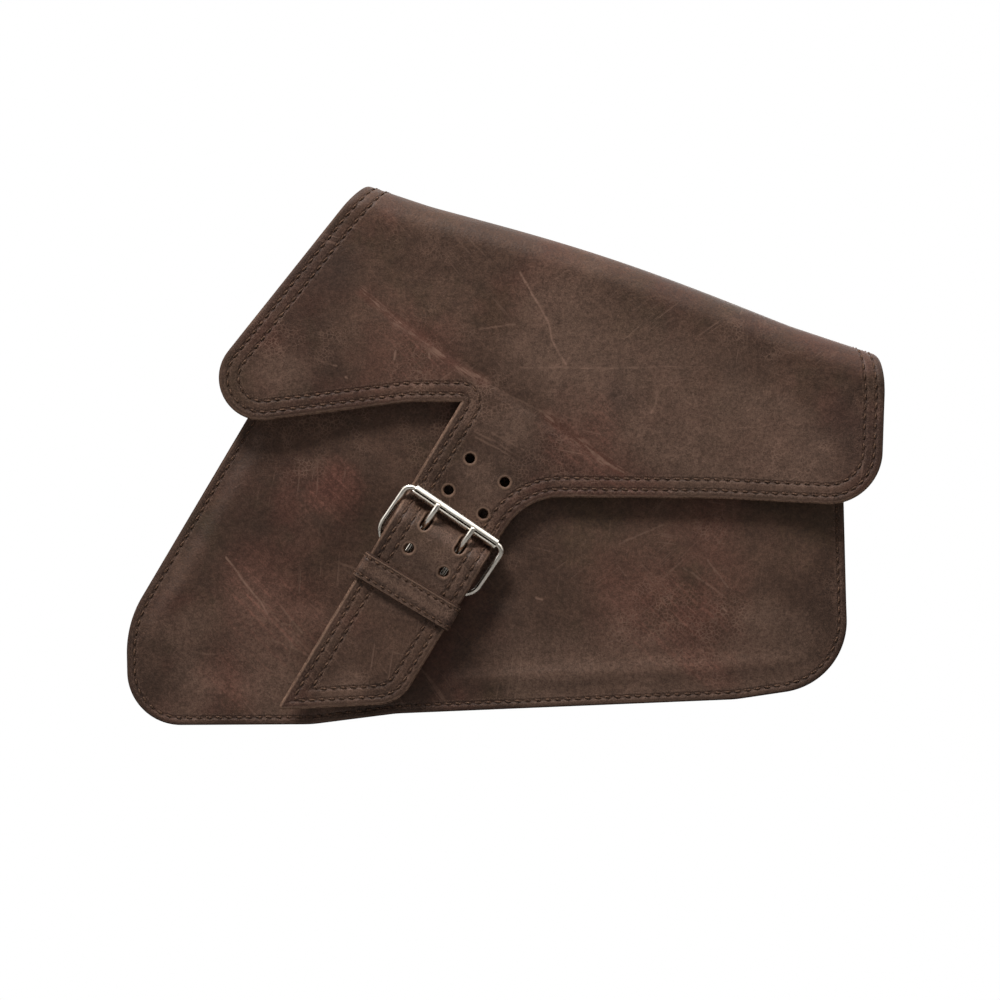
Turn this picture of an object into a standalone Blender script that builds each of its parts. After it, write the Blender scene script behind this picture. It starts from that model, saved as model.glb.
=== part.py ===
"""Motorcycle saddlebag in leather, with a sloping top and one flap that narrows into a wide strap.

The strap runs through a double-tongue roller buckle. X points to the right as seen from the front,
Z is up, and the front faces -Y. The origin is the middle of the mounting pad's outer face.
Lengths are in millimetres here, and MM turns them into metres as each mesh is made.
"""
import math

import bmesh
import bpy
from mathutils import Vector

MM = 0.001
GAP = 0.3                        # clearance between neighbouring pieces

# Bag body: panels at the front and back, and a gusset band between them
FRONT_Y = -90.0                  # outer face of the front panel
BACK_Y = -3.3                    # outer face of the back panel
PANEL = 3.0                      # panel thickness
STIFFENER = 2.3
TOP_SLOPE = math.radians(18.4)   # fall of the top edge towards +X
BODY_TOP = 121.0                 # height of the mouth, measured square to the sloping top
LEFT_LEAN = math.radians(59.4)   # angle of the left edge above the horizontal
RIGHT_X = 171.0
BODY_BOTTOM = (                  # x, z and corner radius, from the lower left to the lower right
    (-218.0, -113.5, 38.0),
    (-94.5, -112.0, 60.0),
    (-50.0, -106.5, 60.0),
    (173.0, -96.5, 40.0),
)

# Flap: front part, fold over the mouth, and top strip that runs back to the hinge
FLAP = 3.6                       # thickness of the flap and strap
FLAP_LIFT = 8.0                  # flap's middle above the front panel
FOLD_START = 115.0               # height on the slope at which the fold begins
FOLD_RADIUS = 12.0
FOLD_ARC = FOLD_RADIUS * math.pi / 2.0
FOLD_STEPS = 5
HINGE_Y = BACK_Y - PANEL / 2.0
HINGE_H = FOLD_START + FOLD_RADIUS
FLAP_LOWER = (                   # x, z and corner radius, from the lower left round to the right side
    (-171.5, 32.7, 23.5),
    (-113.0, 40.3, 60.0),
    (-45.0, 49.0, 60.0),
    (-19.5, 49.0, 0.0),
    (-111.7, -105.0, 0.8),
    (-50.2, -101.9, 20.0),
    (12.4, 1.5, 32.0),
    (110.0, 0.7, 90.0),
    (190.5, -3.5, 22.0),
)
FLAP_LEFT_S = (-120.6, -110.5, -105.0)    # along the slope at the fold's start, its end and the hinge
FLAP_RIGHT_S = (165.0, 158.0, 137.0)
LINING = 1.0
LINING_Y = BACK_Y - PANEL - 1.0  # where the lining stops, short of the back panel
LINING_LOWER = (
    (-160.0, 41.0, 18.0),
    (-45.0, 56.0, 60.0),
    (-12.0, 52.0, 6.0),
    (-2.0, 31.0, 6.0),
    (26.0, 8.0, 12.0),
    (183.0, 4.0, 16.0),
)
LINING_LEFT_S = (-112.0, -103.0, -100.0)
LINING_RIGHT_S = (158.0, 151.0, 131.0)

# Strap on the flap, and its buckle
STRAP_START = (2.4, 35.9)        # x, z on the strap's middle line where its left edge leaves the flap
STRAP_LEAN = math.radians(30.9)  # strap's run, measured from straight down towards -X
STRAP_HALF = 25.5
HEEL_AT = 81.4                   # heel bar, along the strap from STRAP_START
HEEL_LIFT = 6.1                  # heel bar's centre above the front panel
BUCKLE_LEAN = math.radians(34.2)
STRAP_RISE = (                   # along the strap from the heel bar, and rise above it
    (-51.4, 1.9), (-36.0, 0.0), (-30.5, -0.4), (-26.5, 0.8), (-23.5, 3.9), (-20.5, 7.2),
    (-17.0, 9.4), (-12.0, 9.7), (-4.0, 8.4), (0.0, 7.0), (4.0, 5.6), (8.0, 4.5),
    (14.0, 3.9), (24.0, 3.2), (40.0, 2.4), (98.4, 1.6),
)
STRAP_STEP = 3.5
PRONG_RISE = (
    (-32.0, 9.8), (-29.0, 9.8), (-26.0, 9.6), (-21.5, 8.0), (-17.0, 5.7), (-12.0, 4.0),
    (-6.0, 3.2), (0.0, 3.1),
)
WIRE = 1.5                       # radius of the buckle's wire
PRONG = 1.3                      # radius of a prong
FRAME_HALF = 29.0                # wire's centre line, from the middle to a side rail
FRAME_LENGTH = 31.0              # heel bar to roller bar
ROLLER_RISE = 5.2                # roller bar above the heel bar
ROLLER_RADIUS = 3.0
ROLLER_BORE = 1.9
ROLLER_HALF = 24.9
HEEL_CORNER = 9.0
ROLLER_CORNER = 4.0
PRONG_SPACING = 10.5             # from the middle line to each prong
HOLE = 2.5                       # radius of a strap hole
HOLE_ROWS = (-59.0, -40.0, -5.0)    # along the strap from the heel bar, besides the row in use
SLOT_HALF = 2.2                  # worn slot of the row in use
SLOT_ENDS = (-28.0, -13.5)
CHAPE_HALF = 20.0
CHAPE_LENGTH = 36.0
CHAPE = 2.0
NOTCH_HALF = 3.2
KEEPER_AT = (88.0, 102.0)        # keeper's ends along the strap
KEEPER_BACK = (0.4, 2.0)         # its back band, above the front panel
KEEPER_TOP = (13.0, 14.8)
KEEPER_HALF = (26.0, 27.8)
SNAP_AT = 15.0                   # press stud, along the strap
SNAP_RADIUS = 7.0

# Mounting pad and straps on the back
PAD = (90.0, 64.0, 8.0)          # width, height and corner radius
PAD_THICKNESS = 3.0
MOUNT_X = 90.0
MOUNT_HEEL_Z = -22.0
MOUNT_HEEL_LIFT = 5.6
MOUNT_HALF = 12.5
MOUNT_STRAP = 2.6
MOUNT_RISE = (
    (-85.0, -4.0), (-38.0, -4.0), (-30.0, -2.0), (-25.0, -0.4), (-22.0, 0.0), (-19.5, 0.9),
    (-17.0, 3.2), (-14.0, 6.0), (-11.0, 7.0), (-6.0, 6.9), (0.0, 5.6), (5.0, 4.3),
    (10.0, 3.2), (16.0, 2.8), (30.0, 2.7), (62.0, 2.2),
)
MOUNT_PRONG_RISE = (
    (-26.0, 6.1), (-22.0, 6.2), (-17.0, 5.6), (-13.0, 4.6), (-9.0, 3.4), (-5.0, 2.8), (0.0, 2.7),
)
MOUNT_WIRE = 1.3
MOUNT_PRONG = 1.1
MOUNT_FRAME_HALF = 15.5
MOUNT_FRAME_LENGTH = 22.0
MOUNT_BAR_RISE = 3.4
MOUNT_CORNER = 4.0
MOUNT_SLOT_ENDS = (-20.5, -8.5)
MOUNT_SLOT_HALF = 1.9
MOUNT_CHAPE_HALF = 10.0
MOUNT_CHAPE_LENGTH = 36.0
MOUNT_NOTCH_HALF = 2.6
MOUNT_KEEPER_AT = (12.0, 22.0)
MOUNT_KEEPER_BACK = (0.4, 1.7)
MOUNT_KEEPER_TOP = (10.2, 11.7)
MOUNT_KEEPER_HALF = (13.2, 14.7)
RIVET_AT = -77.0
RIVET_HEAD = 5.0
RIVET_SHANK = 1.8

FINISHES = {                     # colour, roughness, metallic
    "leather": ((0.075, 0.042, 0.031), 0.62, 0.0),
    "lining": ((0.13, 0.085, 0.06), 0.8, 0.0),
    "board": ((0.03, 0.03, 0.03), 0.6, 0.0),
    "nickel": ((0.66, 0.64, 0.6), 0.22, 1.0),
}


class Seat:
    """Frame on a panel: a runs along a strap to its tip, b across it, and w out from the panel."""

    def __init__(self, centre, lean, face_y, outward):
        self.centre = Vector((centre[0], 0.0, centre[1]))
        self.along = Vector((-math.sin(lean), 0.0, -math.cos(lean)))
        self.across = Vector((math.cos(lean), 0.0, -math.sin(lean)))
        self.out = Vector((0.0, outward, 0.0))
        self.base = Vector((0.0, face_y, 0.0))

    def at(self, a, b, w):
        return self.centre + self.base + self.along * a + self.across * b + self.out * w


def on_slope(s, h):
    """x and z of a point s along the sloping top and h square to it."""
    x = s * math.cos(TOP_SLOPE) + h * math.sin(TOP_SLOPE)
    z = h * math.cos(TOP_SLOPE) - s * math.sin(TOP_SLOPE)
    return x, z


def to_slope(x, z):
    s = x * math.cos(TOP_SLOPE) - z * math.sin(TOP_SLOPE)
    h = x * math.sin(TOP_SLOPE) + z * math.cos(TOP_SLOPE)
    return s, h


def curve(knots, x):
    """Smooth curve through knots (x, y), level beyond both ends."""
    if x <= knots[0][0]:
        return knots[0][1]
    if x >= knots[-1][0]:
        return knots[-1][1]
    i = next(k for k in range(len(knots) - 1) if knots[k + 1][0] >= x)
    slopes = []
    for k in (i, i + 1):
        if k in (0, len(knots) - 1):
            slopes.append(0.0)
        else:
            rise = knots[k + 1][1] - knots[k - 1][1]
            slopes.append(rise / (knots[k + 1][0] - knots[k - 1][0]))
    (x0, y0), (x1, y1) = knots[i], knots[i + 1]
    width = x1 - x0
    f = (x - x0) / width
    start = (1 + 2 * f) * (1 - f) ** 2 * y0 + f * (1 - f) ** 2 * width * slopes[0]
    finish = f * f * (3 - 2 * f) * y1 + f * f * (f - 1) * width * slopes[1]
    return start + finish


def spread(low, high, step):
    """Evenly spaced values from low to high, no more than step apart."""
    count = max(1, math.ceil(abs(high - low) / step))
    return [low + (high - low) * k / count for k in range(count + 1)]


def rounded(corners, turn=math.radians(18.0)):
    """Closed outline through corners (x, z, radius), with an arc of that radius at each."""
    points = []
    for i, (x, z, radius) in enumerate(corners):
        corner = Vector((x, z))
        if radius == 0.0:
            points.append(corner)
            continue
        before = (Vector(corners[i - 1][:2]) - corner).normalized()
        after = (Vector(corners[(i + 1) % len(corners)][:2]) - corner).normalized()
        half = before.angle(after) / 2.0
        centre = corner + (before + after).normalized() * radius / math.sin(half)
        reach = radius / math.tan(half)
        spoke = corner + before * reach - centre
        end = corner + after * reach - centre
        sweep = math.atan2(spoke.x * end.y - spoke.y * end.x, spoke.dot(end))
        for angle in spread(0.0, sweep, turn):
            c, s = math.cos(angle), math.sin(angle)
            points.append(centre + Vector((c * spoke.x - s * spoke.y, s * spoke.x + c * spoke.y)))
    return points


def offset(points, distance, closed=True):
    """The outline moved sideways by distance, to the left of its direction of travel."""
    moved = []
    last = len(points) - 1
    for i, point in enumerate(points):
        sides = []
        if closed or i > 0:
            sides.append((point - points[i - 1]).normalized())
        if closed or i < last:
            sides.append((points[(i + 1) % len(points)] - point).normalized())
        normals = [Vector((-side.y, side.x)) for side in sides]
        mid = sum(normals, Vector((0.0, 0.0))).normalized()
        moved.append(point + mid * distance / max(0.4, mid.dot(normals[0])))
    return moved


def material(name, finish):
    colour, roughness, metallic = FINISHES[finish]
    made = bpy.data.materials.new(name + "_" + finish)
    made.use_nodes = True
    shader = made.node_tree.nodes["Principled BSDF"]
    shader.inputs["Base Color"].default_value = (*colour, 1.0)
    shader.inputs["Roughness"].default_value = roughness
    shader.inputs["Metallic"].default_value = metallic
    return made


def make(name, points, faces, finish, pivot=(0.0, 0.0, 0.0), parent=None):
    """One closed object from points and faces, with its origin at pivot."""
    origin = Vector(pivot)
    mesh = bpy.data.meshes.new(name)
    mesh.from_pydata([(point - origin) * MM for point in points], [], faces)
    shape = bmesh.new()
    shape.from_mesh(mesh)
    bmesh.ops.recalc_face_normals(shape, faces=shape.faces)
    shape.to_mesh(mesh)
    shape.free()
    mesh.shade_smooth()
    mesh.set_sharp_from_angle(angle=math.radians(35.0))
    made = bpy.data.objects.new(name, mesh)
    bpy.context.scene.collection.objects.link(made)
    made.location = origin * MM
    if parent:
        made.parent = parent
        made.location = origin * MM - parent.location
    if finish:
        mesh.materials.append(material(name, finish))
    return made


def cut(target, cutter):
    """Takes the cutter's space out of the target, and hides the cutter."""
    cutter.hide_render = True
    cutter.display_type = "WIRE"
    boolean = target.modifiers.new(cutter.name, "BOOLEAN")
    boolean.operation = "DIFFERENCE"
    boolean.solver = "EXACT"
    boolean.object = cutter


def plate(name, outline, low_y, high_y, finish):
    """A flat panel with its outline in the XZ plane."""
    count = len(outline)
    points = [Vector((p.x, low_y, p.y)) for p in outline] + [Vector((p.x, high_y, p.y)) for p in outline]
    faces = [tuple(range(count)), tuple(range(2 * count - 1, count - 1, -1))]
    faces += [(i, (i + 1) % count, count + (i + 1) % count, count + i) for i in range(count)]
    return make(name, points, faces, finish)


def band(name, outer, inner, place, ends, finish, closed, **placing):
    """A wall between two outlines that run side by side, drawn out between two ends."""
    count = len(outer)
    points = []
    for end in ends:
        points += [place(p.x, p.y, end) for p in outer]
        points += [place(p.x, p.y, end) for p in inner]
    far = 2 * count
    faces = []
    for i in range(count if closed else count - 1):
        j = (i + 1) % count
        faces.append((i, j, count + j, count + i))
        faces.append((far + i, far + j, far + count + j, far + count + i))
        faces.append((i, j, far + j, far + i))
        faces.append((count + i, count + j, far + count + j, far + count + i))
    if not closed:
        for i in (0, count - 1):
            faces.append((i, count + i, far + count + i, far + i))
    return make(name, points, faces, finish, **placing)


def tube(name, path, radius, side, sides, finish, closed, **placing):
    """Round wire along a path that bends square to the side direction."""
    points = []
    count = len(path)
    for i, point in enumerate(path):
        ahead = path[(i + 1) % count] if closed or i < count - 1 else point
        behind = path[i - 1] if closed or i > 0 else point
        travel = (ahead - behind).normalized()
        normal = travel.cross(side).normalized()
        for k in range(sides):
            angle = 2.0 * math.pi * k / sides
            points.append(point + side * radius * math.cos(angle) + normal * radius * math.sin(angle))
    faces = []
    for i in range(count if closed else count - 1):
        j = (i + 1) % count
        for k in range(sides):
            m = (k + 1) % sides
            faces.append((i * sides + k, i * sides + m, j * sides + m, j * sides + k))
    if not closed:
        faces.append(tuple(range(sides)))
        faces.append(tuple(range((count - 1) * sides, count * sides)))
    return make(name, points, faces, finish, **placing)


def turned(name, profile, seat, at, finish, sides=20, **placing):
    """A shape turned about a line square to a panel. The profile holds (radius, w) pairs."""
    points = []
    for radius, w in profile:
        for k in range(sides):
            angle = 2.0 * math.pi * k / sides
            a = at[0] + radius * math.cos(angle)
            b = at[1] + radius * math.sin(angle)
            points.append(seat.at(a, b, w))
    rows = len(profile)
    hollow = profile[0] == profile[-1]
    faces = []
    for i in range(rows - 1):
        j = 0 if hollow and i == rows - 2 else i + 1
        for k in range(sides):
            m = (k + 1) % sides
            faces.append((i * sides + k, i * sides + m, j * sides + m, j * sides + k))
    if hollow:
        points = points[:-sides]
    else:
        faces.append(tuple(range(sides)))
        faces.append(tuple(range((rows - 1) * sides, rows * sides)))
    return make(name, points, faces, finish, **placing)


def block(name, seat, a_ends, b_ends, w_ends):
    """A box lined up with a seat, used as a cutter."""
    points = [seat.at(a, b, w) for a in a_ends for b in b_ends for w in w_ends]
    faces = [(0, 1, 3, 2), (4, 5, 7, 6), (0, 1, 5, 4), (2, 3, 7, 6), (0, 2, 6, 4), (1, 3, 7, 5)]
    return make(name, points, faces, None)


def strap_seat():
    return Seat(STRAP_START, STRAP_LEAN, FRONT_Y, -1.0)


def buckle_seat():
    heel = strap_seat().at(HEEL_AT, 0.0, 0.0)
    return Seat((heel.x, heel.z), BUCKLE_LEAN, FRONT_Y, -1.0)


def body_outline(top):
    """Outline of the bag's body with its mouth at a height on the slope."""
    base = Vector(BODY_BOTTOM[0][:2])
    rise = Vector((math.cos(LEFT_LEAN), math.sin(LEFT_LEAN)))
    low = to_slope(*base)[1]
    gain = to_slope(*rise)[1]
    left = base + rise * (top - low) / gain
    right_z = (top - RIGHT_X * math.sin(TOP_SLOPE)) / math.cos(TOP_SLOPE)
    return rounded([(left.x, left.y, 0.0), *BODY_BOTTOM, (RIGHT_X, right_z, 0.0)])


def flap_point(s, p):
    """Middle surface of the flap. p follows the leather up the front, over the fold and back."""
    level = FRONT_Y - FLAP_LIFT
    if p > FOLD_START + FOLD_ARC:
        x, z = on_slope(s, HINGE_H)
        return Vector((x, level + FOLD_RADIUS + p - FOLD_START - FOLD_ARC, z))
    if p > FOLD_START:
        bend = (p - FOLD_START) / FOLD_RADIUS
        x, z = on_slope(s, FOLD_START + FOLD_RADIUS * math.sin(bend))
        return Vector((x, level + FOLD_RADIUS * (1.0 - math.cos(bend)), z))
    x, z = on_slope(s, p)
    seat = strap_seat()
    place = Vector((x, FRONT_Y, z)) - seat.at(0.0, 0.0, 0.0)
    along = place.dot(seat.along)
    if place.dot(seat.across) > -STRAP_HALF - 1.0 and along > HEEL_AT + STRAP_RISE[0][0]:
        return Vector((x, FRONT_Y - HEEL_LIFT - curve(STRAP_RISE, along - HEEL_AT), z))
    return Vector((x, level, z))


def flap_normal(s, p):
    """Unit normal of the flap, out of the bag."""
    step = 0.05
    along = flap_point(s + step, p) - flap_point(s - step, p)
    up = flap_point(s, p + step) - flap_point(s, p - step)
    return along.cross(up).normalized()


def split(shape, faces, through, normal):
    """Cuts the flat pattern's faces along a line."""
    parts = set(faces)
    for face in faces:
        parts.update(face.edges)
        parts.update(face.verts)
    bmesh.ops.bisect_plane(shape, geom=list(parts), plane_co=(*through, 0.0), plane_no=(*normal, 0.0))


def flap_pattern(lower, left_s, right_s, root_y):
    """Flat pattern of a flap layer in s and p, divided finely enough to bend."""
    fold_end = FOLD_START + FOLD_ARC
    root = fold_end + root_y - (FRONT_Y - FLAP_LIFT + FOLD_RADIUS)
    corners = [(left_s[2], root, 0.0), (left_s[1], fold_end, 0.0), (left_s[0], FOLD_START, 0.0)]
    corners += [(*to_slope(x, z), radius) for x, z, radius in lower]
    corners += [(right_s[0], FOLD_START, 0.0), (right_s[1], fold_end, 0.0), (right_s[2], root, 0.0)]
    shape = bmesh.new()
    shape.faces.new([shape.verts.new((p.x, p.y, 0.0)) for p in rounded(corners)])
    for k in range(FOLD_STEPS + 1):
        split(shape, shape.faces[:], (0.0, FOLD_START + FOLD_ARC * k / FOLD_STEPS), (0.0, 1.0))
    seat = strap_seat()
    across = Vector(to_slope(seat.across.x, seat.across.z))
    along = Vector(to_slope(seat.along.x, seat.along.z))
    start = Vector(to_slope(*STRAP_START))
    edge = start - across * (STRAP_HALF + 1.0)
    bend_start = HEEL_AT + STRAP_RISE[0][0]
    split(shape, [f for f in shape.faces if f.calc_center_median().y < FOLD_START], edge, across)
    for t in spread(bend_start, HEEL_AT + STRAP_RISE[-1][0], STRAP_STEP):
        strap = [f for f in shape.faces if (f.calc_center_bounds().xy - edge).dot(across) > 0.0]
        strap = [f for f in strap if max((v.co.xy - start).dot(along) for v in f.verts) > t]
        split(shape, strap, start + along * t, along)
    bmesh.ops.triangulate(shape, faces=shape.faces[:])
    return shape


def flap_layer(name, pattern, thickness, sink, finish):
    """A layer of the flap, sunk below its middle surface and bent over the fold."""
    shape = flap_pattern(*pattern)
    shape.verts.index_update()
    count = len(shape.verts)
    outer = []
    inner = []
    for vert in shape.verts:
        middle = flap_point(vert.co.x, vert.co.y)
        normal = flap_normal(vert.co.x, vert.co.y)
        outer.append(middle + normal * (thickness / 2.0 - sink))
        inner.append(middle - normal * (thickness / 2.0 + sink))
    faces = []
    for face in shape.faces:
        ring = [v.index for v in face.verts]
        faces.append(tuple(ring))
        faces.append(tuple(count + i for i in reversed(ring)))
    for edge in shape.edges:
        if len(edge.link_faces) == 1:
            i, j = (v.index for v in edge.verts)
            faces.append((i, j, count + j, count + i))
    shape.free()
    pivot = (0.0, HINGE_Y, on_slope(0.0, HINGE_H)[1])
    return make(name, outer + inner, faces, finish, pivot)


def bag_body():
    front = body_outline(BODY_TOP)
    plate("front_panel", front, FRONT_Y, FRONT_Y + PANEL, "leather")
    inner = offset(front, PANEL, closed=False)
    gusset_ends = (FRONT_Y + PANEL + GAP, BACK_Y - PANEL - GAP)
    band("gusset", front, inner, lambda x, z, y: Vector((x, y, z)), gusset_ends, "leather", False)
    back_top = HINGE_H - FLAP / 2.0 - GAP
    back = plate("back_panel", body_outline(back_top), BACK_Y - PANEL, BACK_Y, "leather")
    board = offset(body_outline(BODY_TOP), PANEL + 2.0)
    board_y = BACK_Y - PANEL - GAP
    plate("back_stiffener", board, board_y - STIFFENER, board_y, "board")
    width, height, radius = PAD
    pad = [(x * width / 2.0, z * height / 2.0, radius) for x, z in ((-1, 1), (-1, -1), (1, -1), (1, 1))]
    plate("mount_pad", rounded(pad), -PAD_THICKNESS, 0.0, "leather")
    stud = ((SNAP_RADIUS, GAP), (SNAP_RADIUS, 1.5), (2.2, 1.5), (2.2, 4.6))
    turned("snap_stud", stud, strap_seat(), (SNAP_AT, 0.0), "nickel")
    return back


def flap():
    """The flap with its strap, its lining and the hidden half of the press stud."""
    pattern = (FLAP_LOWER, FLAP_LEFT_S, FLAP_RIGHT_S, HINGE_Y)
    sheet = flap_layer("flap_and_strap", pattern, FLAP, 0.0, "leather")
    pattern = (LINING_LOWER, LINING_LEFT_S, LINING_RIGHT_S, LINING_Y)
    flap_layer("flap_lining", pattern, LINING, (FLAP + LINING) / 2.0 + GAP, "lining")
    seat = strap_seat()
    top = FLAP_LIFT - FLAP / 2.0 - GAP
    ring = ((4.0, 3.2), (SNAP_RADIUS, 3.2), (SNAP_RADIUS, top), (4.0, top), (4.0, 3.2))
    turned("snap_socket", ring, seat, (SNAP_AT, 0.0), "nickel", parent=sheet)
    for row, a in enumerate(HOLE_ROWS):
        for side in (-1, 1):
            shaft = ((HOLE, 2.0), (HOLE, 20.0))
            name = "hole_cutter_%d_%d" % (row, side + 1)
            at = (a, side * PRONG_SPACING)
            cut(sheet, turned(name, shaft, buckle_seat(), at, None, sides=12))
    for side in (-1, 1):
        middle = side * PRONG_SPACING
        reach = (middle - SLOT_HALF, middle + SLOT_HALF)
        name = "slot_cutter_%d" % (side + 1)
        cut(sheet, block(name, buckle_seat(), SLOT_ENDS, reach, (HEEL_LIFT + 2.6, 24.0)))
    return sheet


def fold_round_bar(length, bar, leather):
    """Cross-section of a chape: a strip folded round a bar, in a and w from the bar's centre."""
    radius = bar + GAP + leather / 2.0
    low = [Vector((a, -radius)) for a in (length, 10.0, 5.0)]
    turn = [Vector((radius * math.cos(t), -radius * math.sin(t)))
            for t in spread(math.pi / 2.0, math.pi * 1.5, math.radians(22.5))]
    over = -radius + leather + GAP
    knots = ((0.0, radius), (2.0, radius - 0.3), (9.0, over), (length, over))
    high = [Vector((a, curve(knots, a))) for a in (2.0, 4.0, 6.0, 9.0, length)]
    return low + turn + high


def chape(name, seat, lift, length, bar, leather, half, notches, notch_half, **placing):
    """Leather that holds a buckle's heel bar, notched for the prongs."""
    path = fold_round_bar(length, bar, leather)
    outer = offset(path, leather / 2.0, closed=False)
    inner = offset(path, -leather / 2.0, closed=False)
    made = band(name, outer, inner, lambda a, w, b: seat.at(a, b, lift + w), (-half, half),
                "leather", False, **placing)
    for k, middle in enumerate(notches):
        reach = (middle - notch_half, middle + notch_half)
        height = bar + leather + 2.0
        cutter = block("%s_notch_%d" % (name, k), seat, (-height, 5.5), reach, (lift - height, lift + height))
        cut(made, cutter)
    return made


def keeper(name, seat, ends, back, top, half, **placing):
    """A loop of leather round a strap, with its ends given along the strap."""
    loops = []
    for side, low, high, radius in ((half[1], back[0], top[1], 1.5), (half[0], back[1], top[0], 0.5)):
        corners = [(-side, low, radius), (side, low, radius), (side, high, radius), (-side, high, radius)]
        loops.append(rounded(corners, math.radians(45.0)))
    return band(name, loops[0], loops[1], lambda b, w, a: seat.at(a, b, w), ends, "leather", True, **placing)


def frame_path(seat, lift, half, length, rise, corners):
    """Centre line of a buckle frame, from the heel bar up to the far bar."""
    heel, far = corners
    outline = rounded([(-half, 0.0, heel), (half, 0.0, heel), (half, -length, far), (-half, -length, far)])
    return [seat.at(p.y, p.x, lift - rise * p.y / length) for p in outline]


def buckle_frame(name, seat, lift, half, length, rise, corners, wire):
    path = frame_path(seat, lift, half, length, rise, corners)
    flat = (path[1] - path[0]).cross(path[len(path) // 2] - path[0]).normalized()
    return tube(name, path, wire, flat, 10, "nickel", True, pivot=seat.at(0.0, 0.0, lift))


def prong(name, seat, lift, middle, knots, radius, parent):
    """A wire looped round the heel bar, whose shaft rises to rest on the far bar."""
    loop = knots[-1][1]
    turn = [(loop * math.sin(t), loop * math.cos(t)) for t in spread(math.pi * 1.5, 0.0, math.radians(22.5))]
    shaft = [(a, curve(knots, a)) for a in spread(0.0, knots[0][0], 2.0)][1:]
    path = [seat.at(a, middle, lift + w) for a, w in turn + shaft]
    pivot = seat.at(0.0, middle, lift)
    return tube(name, path, radius, seat.across, 8, "nickel", False, pivot=pivot, parent=parent)


def front_buckle(sheet):
    seat = buckle_seat()
    notches = (-PRONG_SPACING, PRONG_SPACING)
    chape("buckle_chape", seat, HEEL_LIFT, CHAPE_LENGTH, WIRE, CHAPE, CHAPE_HALF, notches, NOTCH_HALF,
          parent=sheet)
    frame = buckle_frame("buckle_frame", seat, HEEL_LIFT, FRAME_HALF, FRAME_LENGTH, ROLLER_RISE,
                         (HEEL_CORNER, ROLLER_CORNER), WIRE)
    loops = []
    for radius in (ROLLER_RADIUS, ROLLER_BORE):
        angles = spread(0.0, 2.0 * math.pi, math.pi / 10.0)[:-1]
        loops.append([Vector((radius * math.cos(t), radius * math.sin(t))) for t in angles])
    centre = HEEL_LIFT + ROLLER_RISE
    pivot = seat.at(-FRAME_LENGTH, 0.0, centre)
    band("buckle_roller", loops[0], loops[1], lambda a, w, b: seat.at(a - FRAME_LENGTH, b, centre + w),
         (-ROLLER_HALF, ROLLER_HALF), "nickel", True, pivot=pivot, parent=frame)
    for side, name in ((-1, "buckle_prong_left"), (1, "buckle_prong_right")):
        prong(name, seat, HEEL_LIFT, side * PRONG_SPACING, PRONG_RISE, PRONG, frame)
    middle = strap_seat().at(sum(KEEPER_AT) / 2.0, 0.0, HEEL_LIFT)
    keeper("strap_keeper", strap_seat(), KEEPER_AT, KEEPER_BACK, KEEPER_TOP, KEEPER_HALF, pivot=middle)


def ribbon(name, seat, stations, thickness, finish):
    """A strap through stations (a, w, half width)."""
    line = [Vector((a, w)) for a, w, half in stations]
    sides = [offset(line, thickness / 2.0, closed=False), offset(line, -thickness / 2.0, closed=False)]
    points = []
    for i, (a, w, half) in enumerate(stations):
        for side, sign in ((0, 1), (0, -1), (1, -1), (1, 1)):
            edge = sides[side][i]
            points.append(seat.at(edge.x, sign * half, edge.y))
    faces = [(0, 1, 2, 3), tuple(range(len(points) - 4, len(points)))]
    for i in range(len(stations) - 1):
        for k in range(4):
            m = (k + 1) % 4
            faces.append((i * 4 + k, i * 4 + m, i * 4 + 4 + m, i * 4 + 4 + k))
    return make(name, points, faces, finish)


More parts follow.
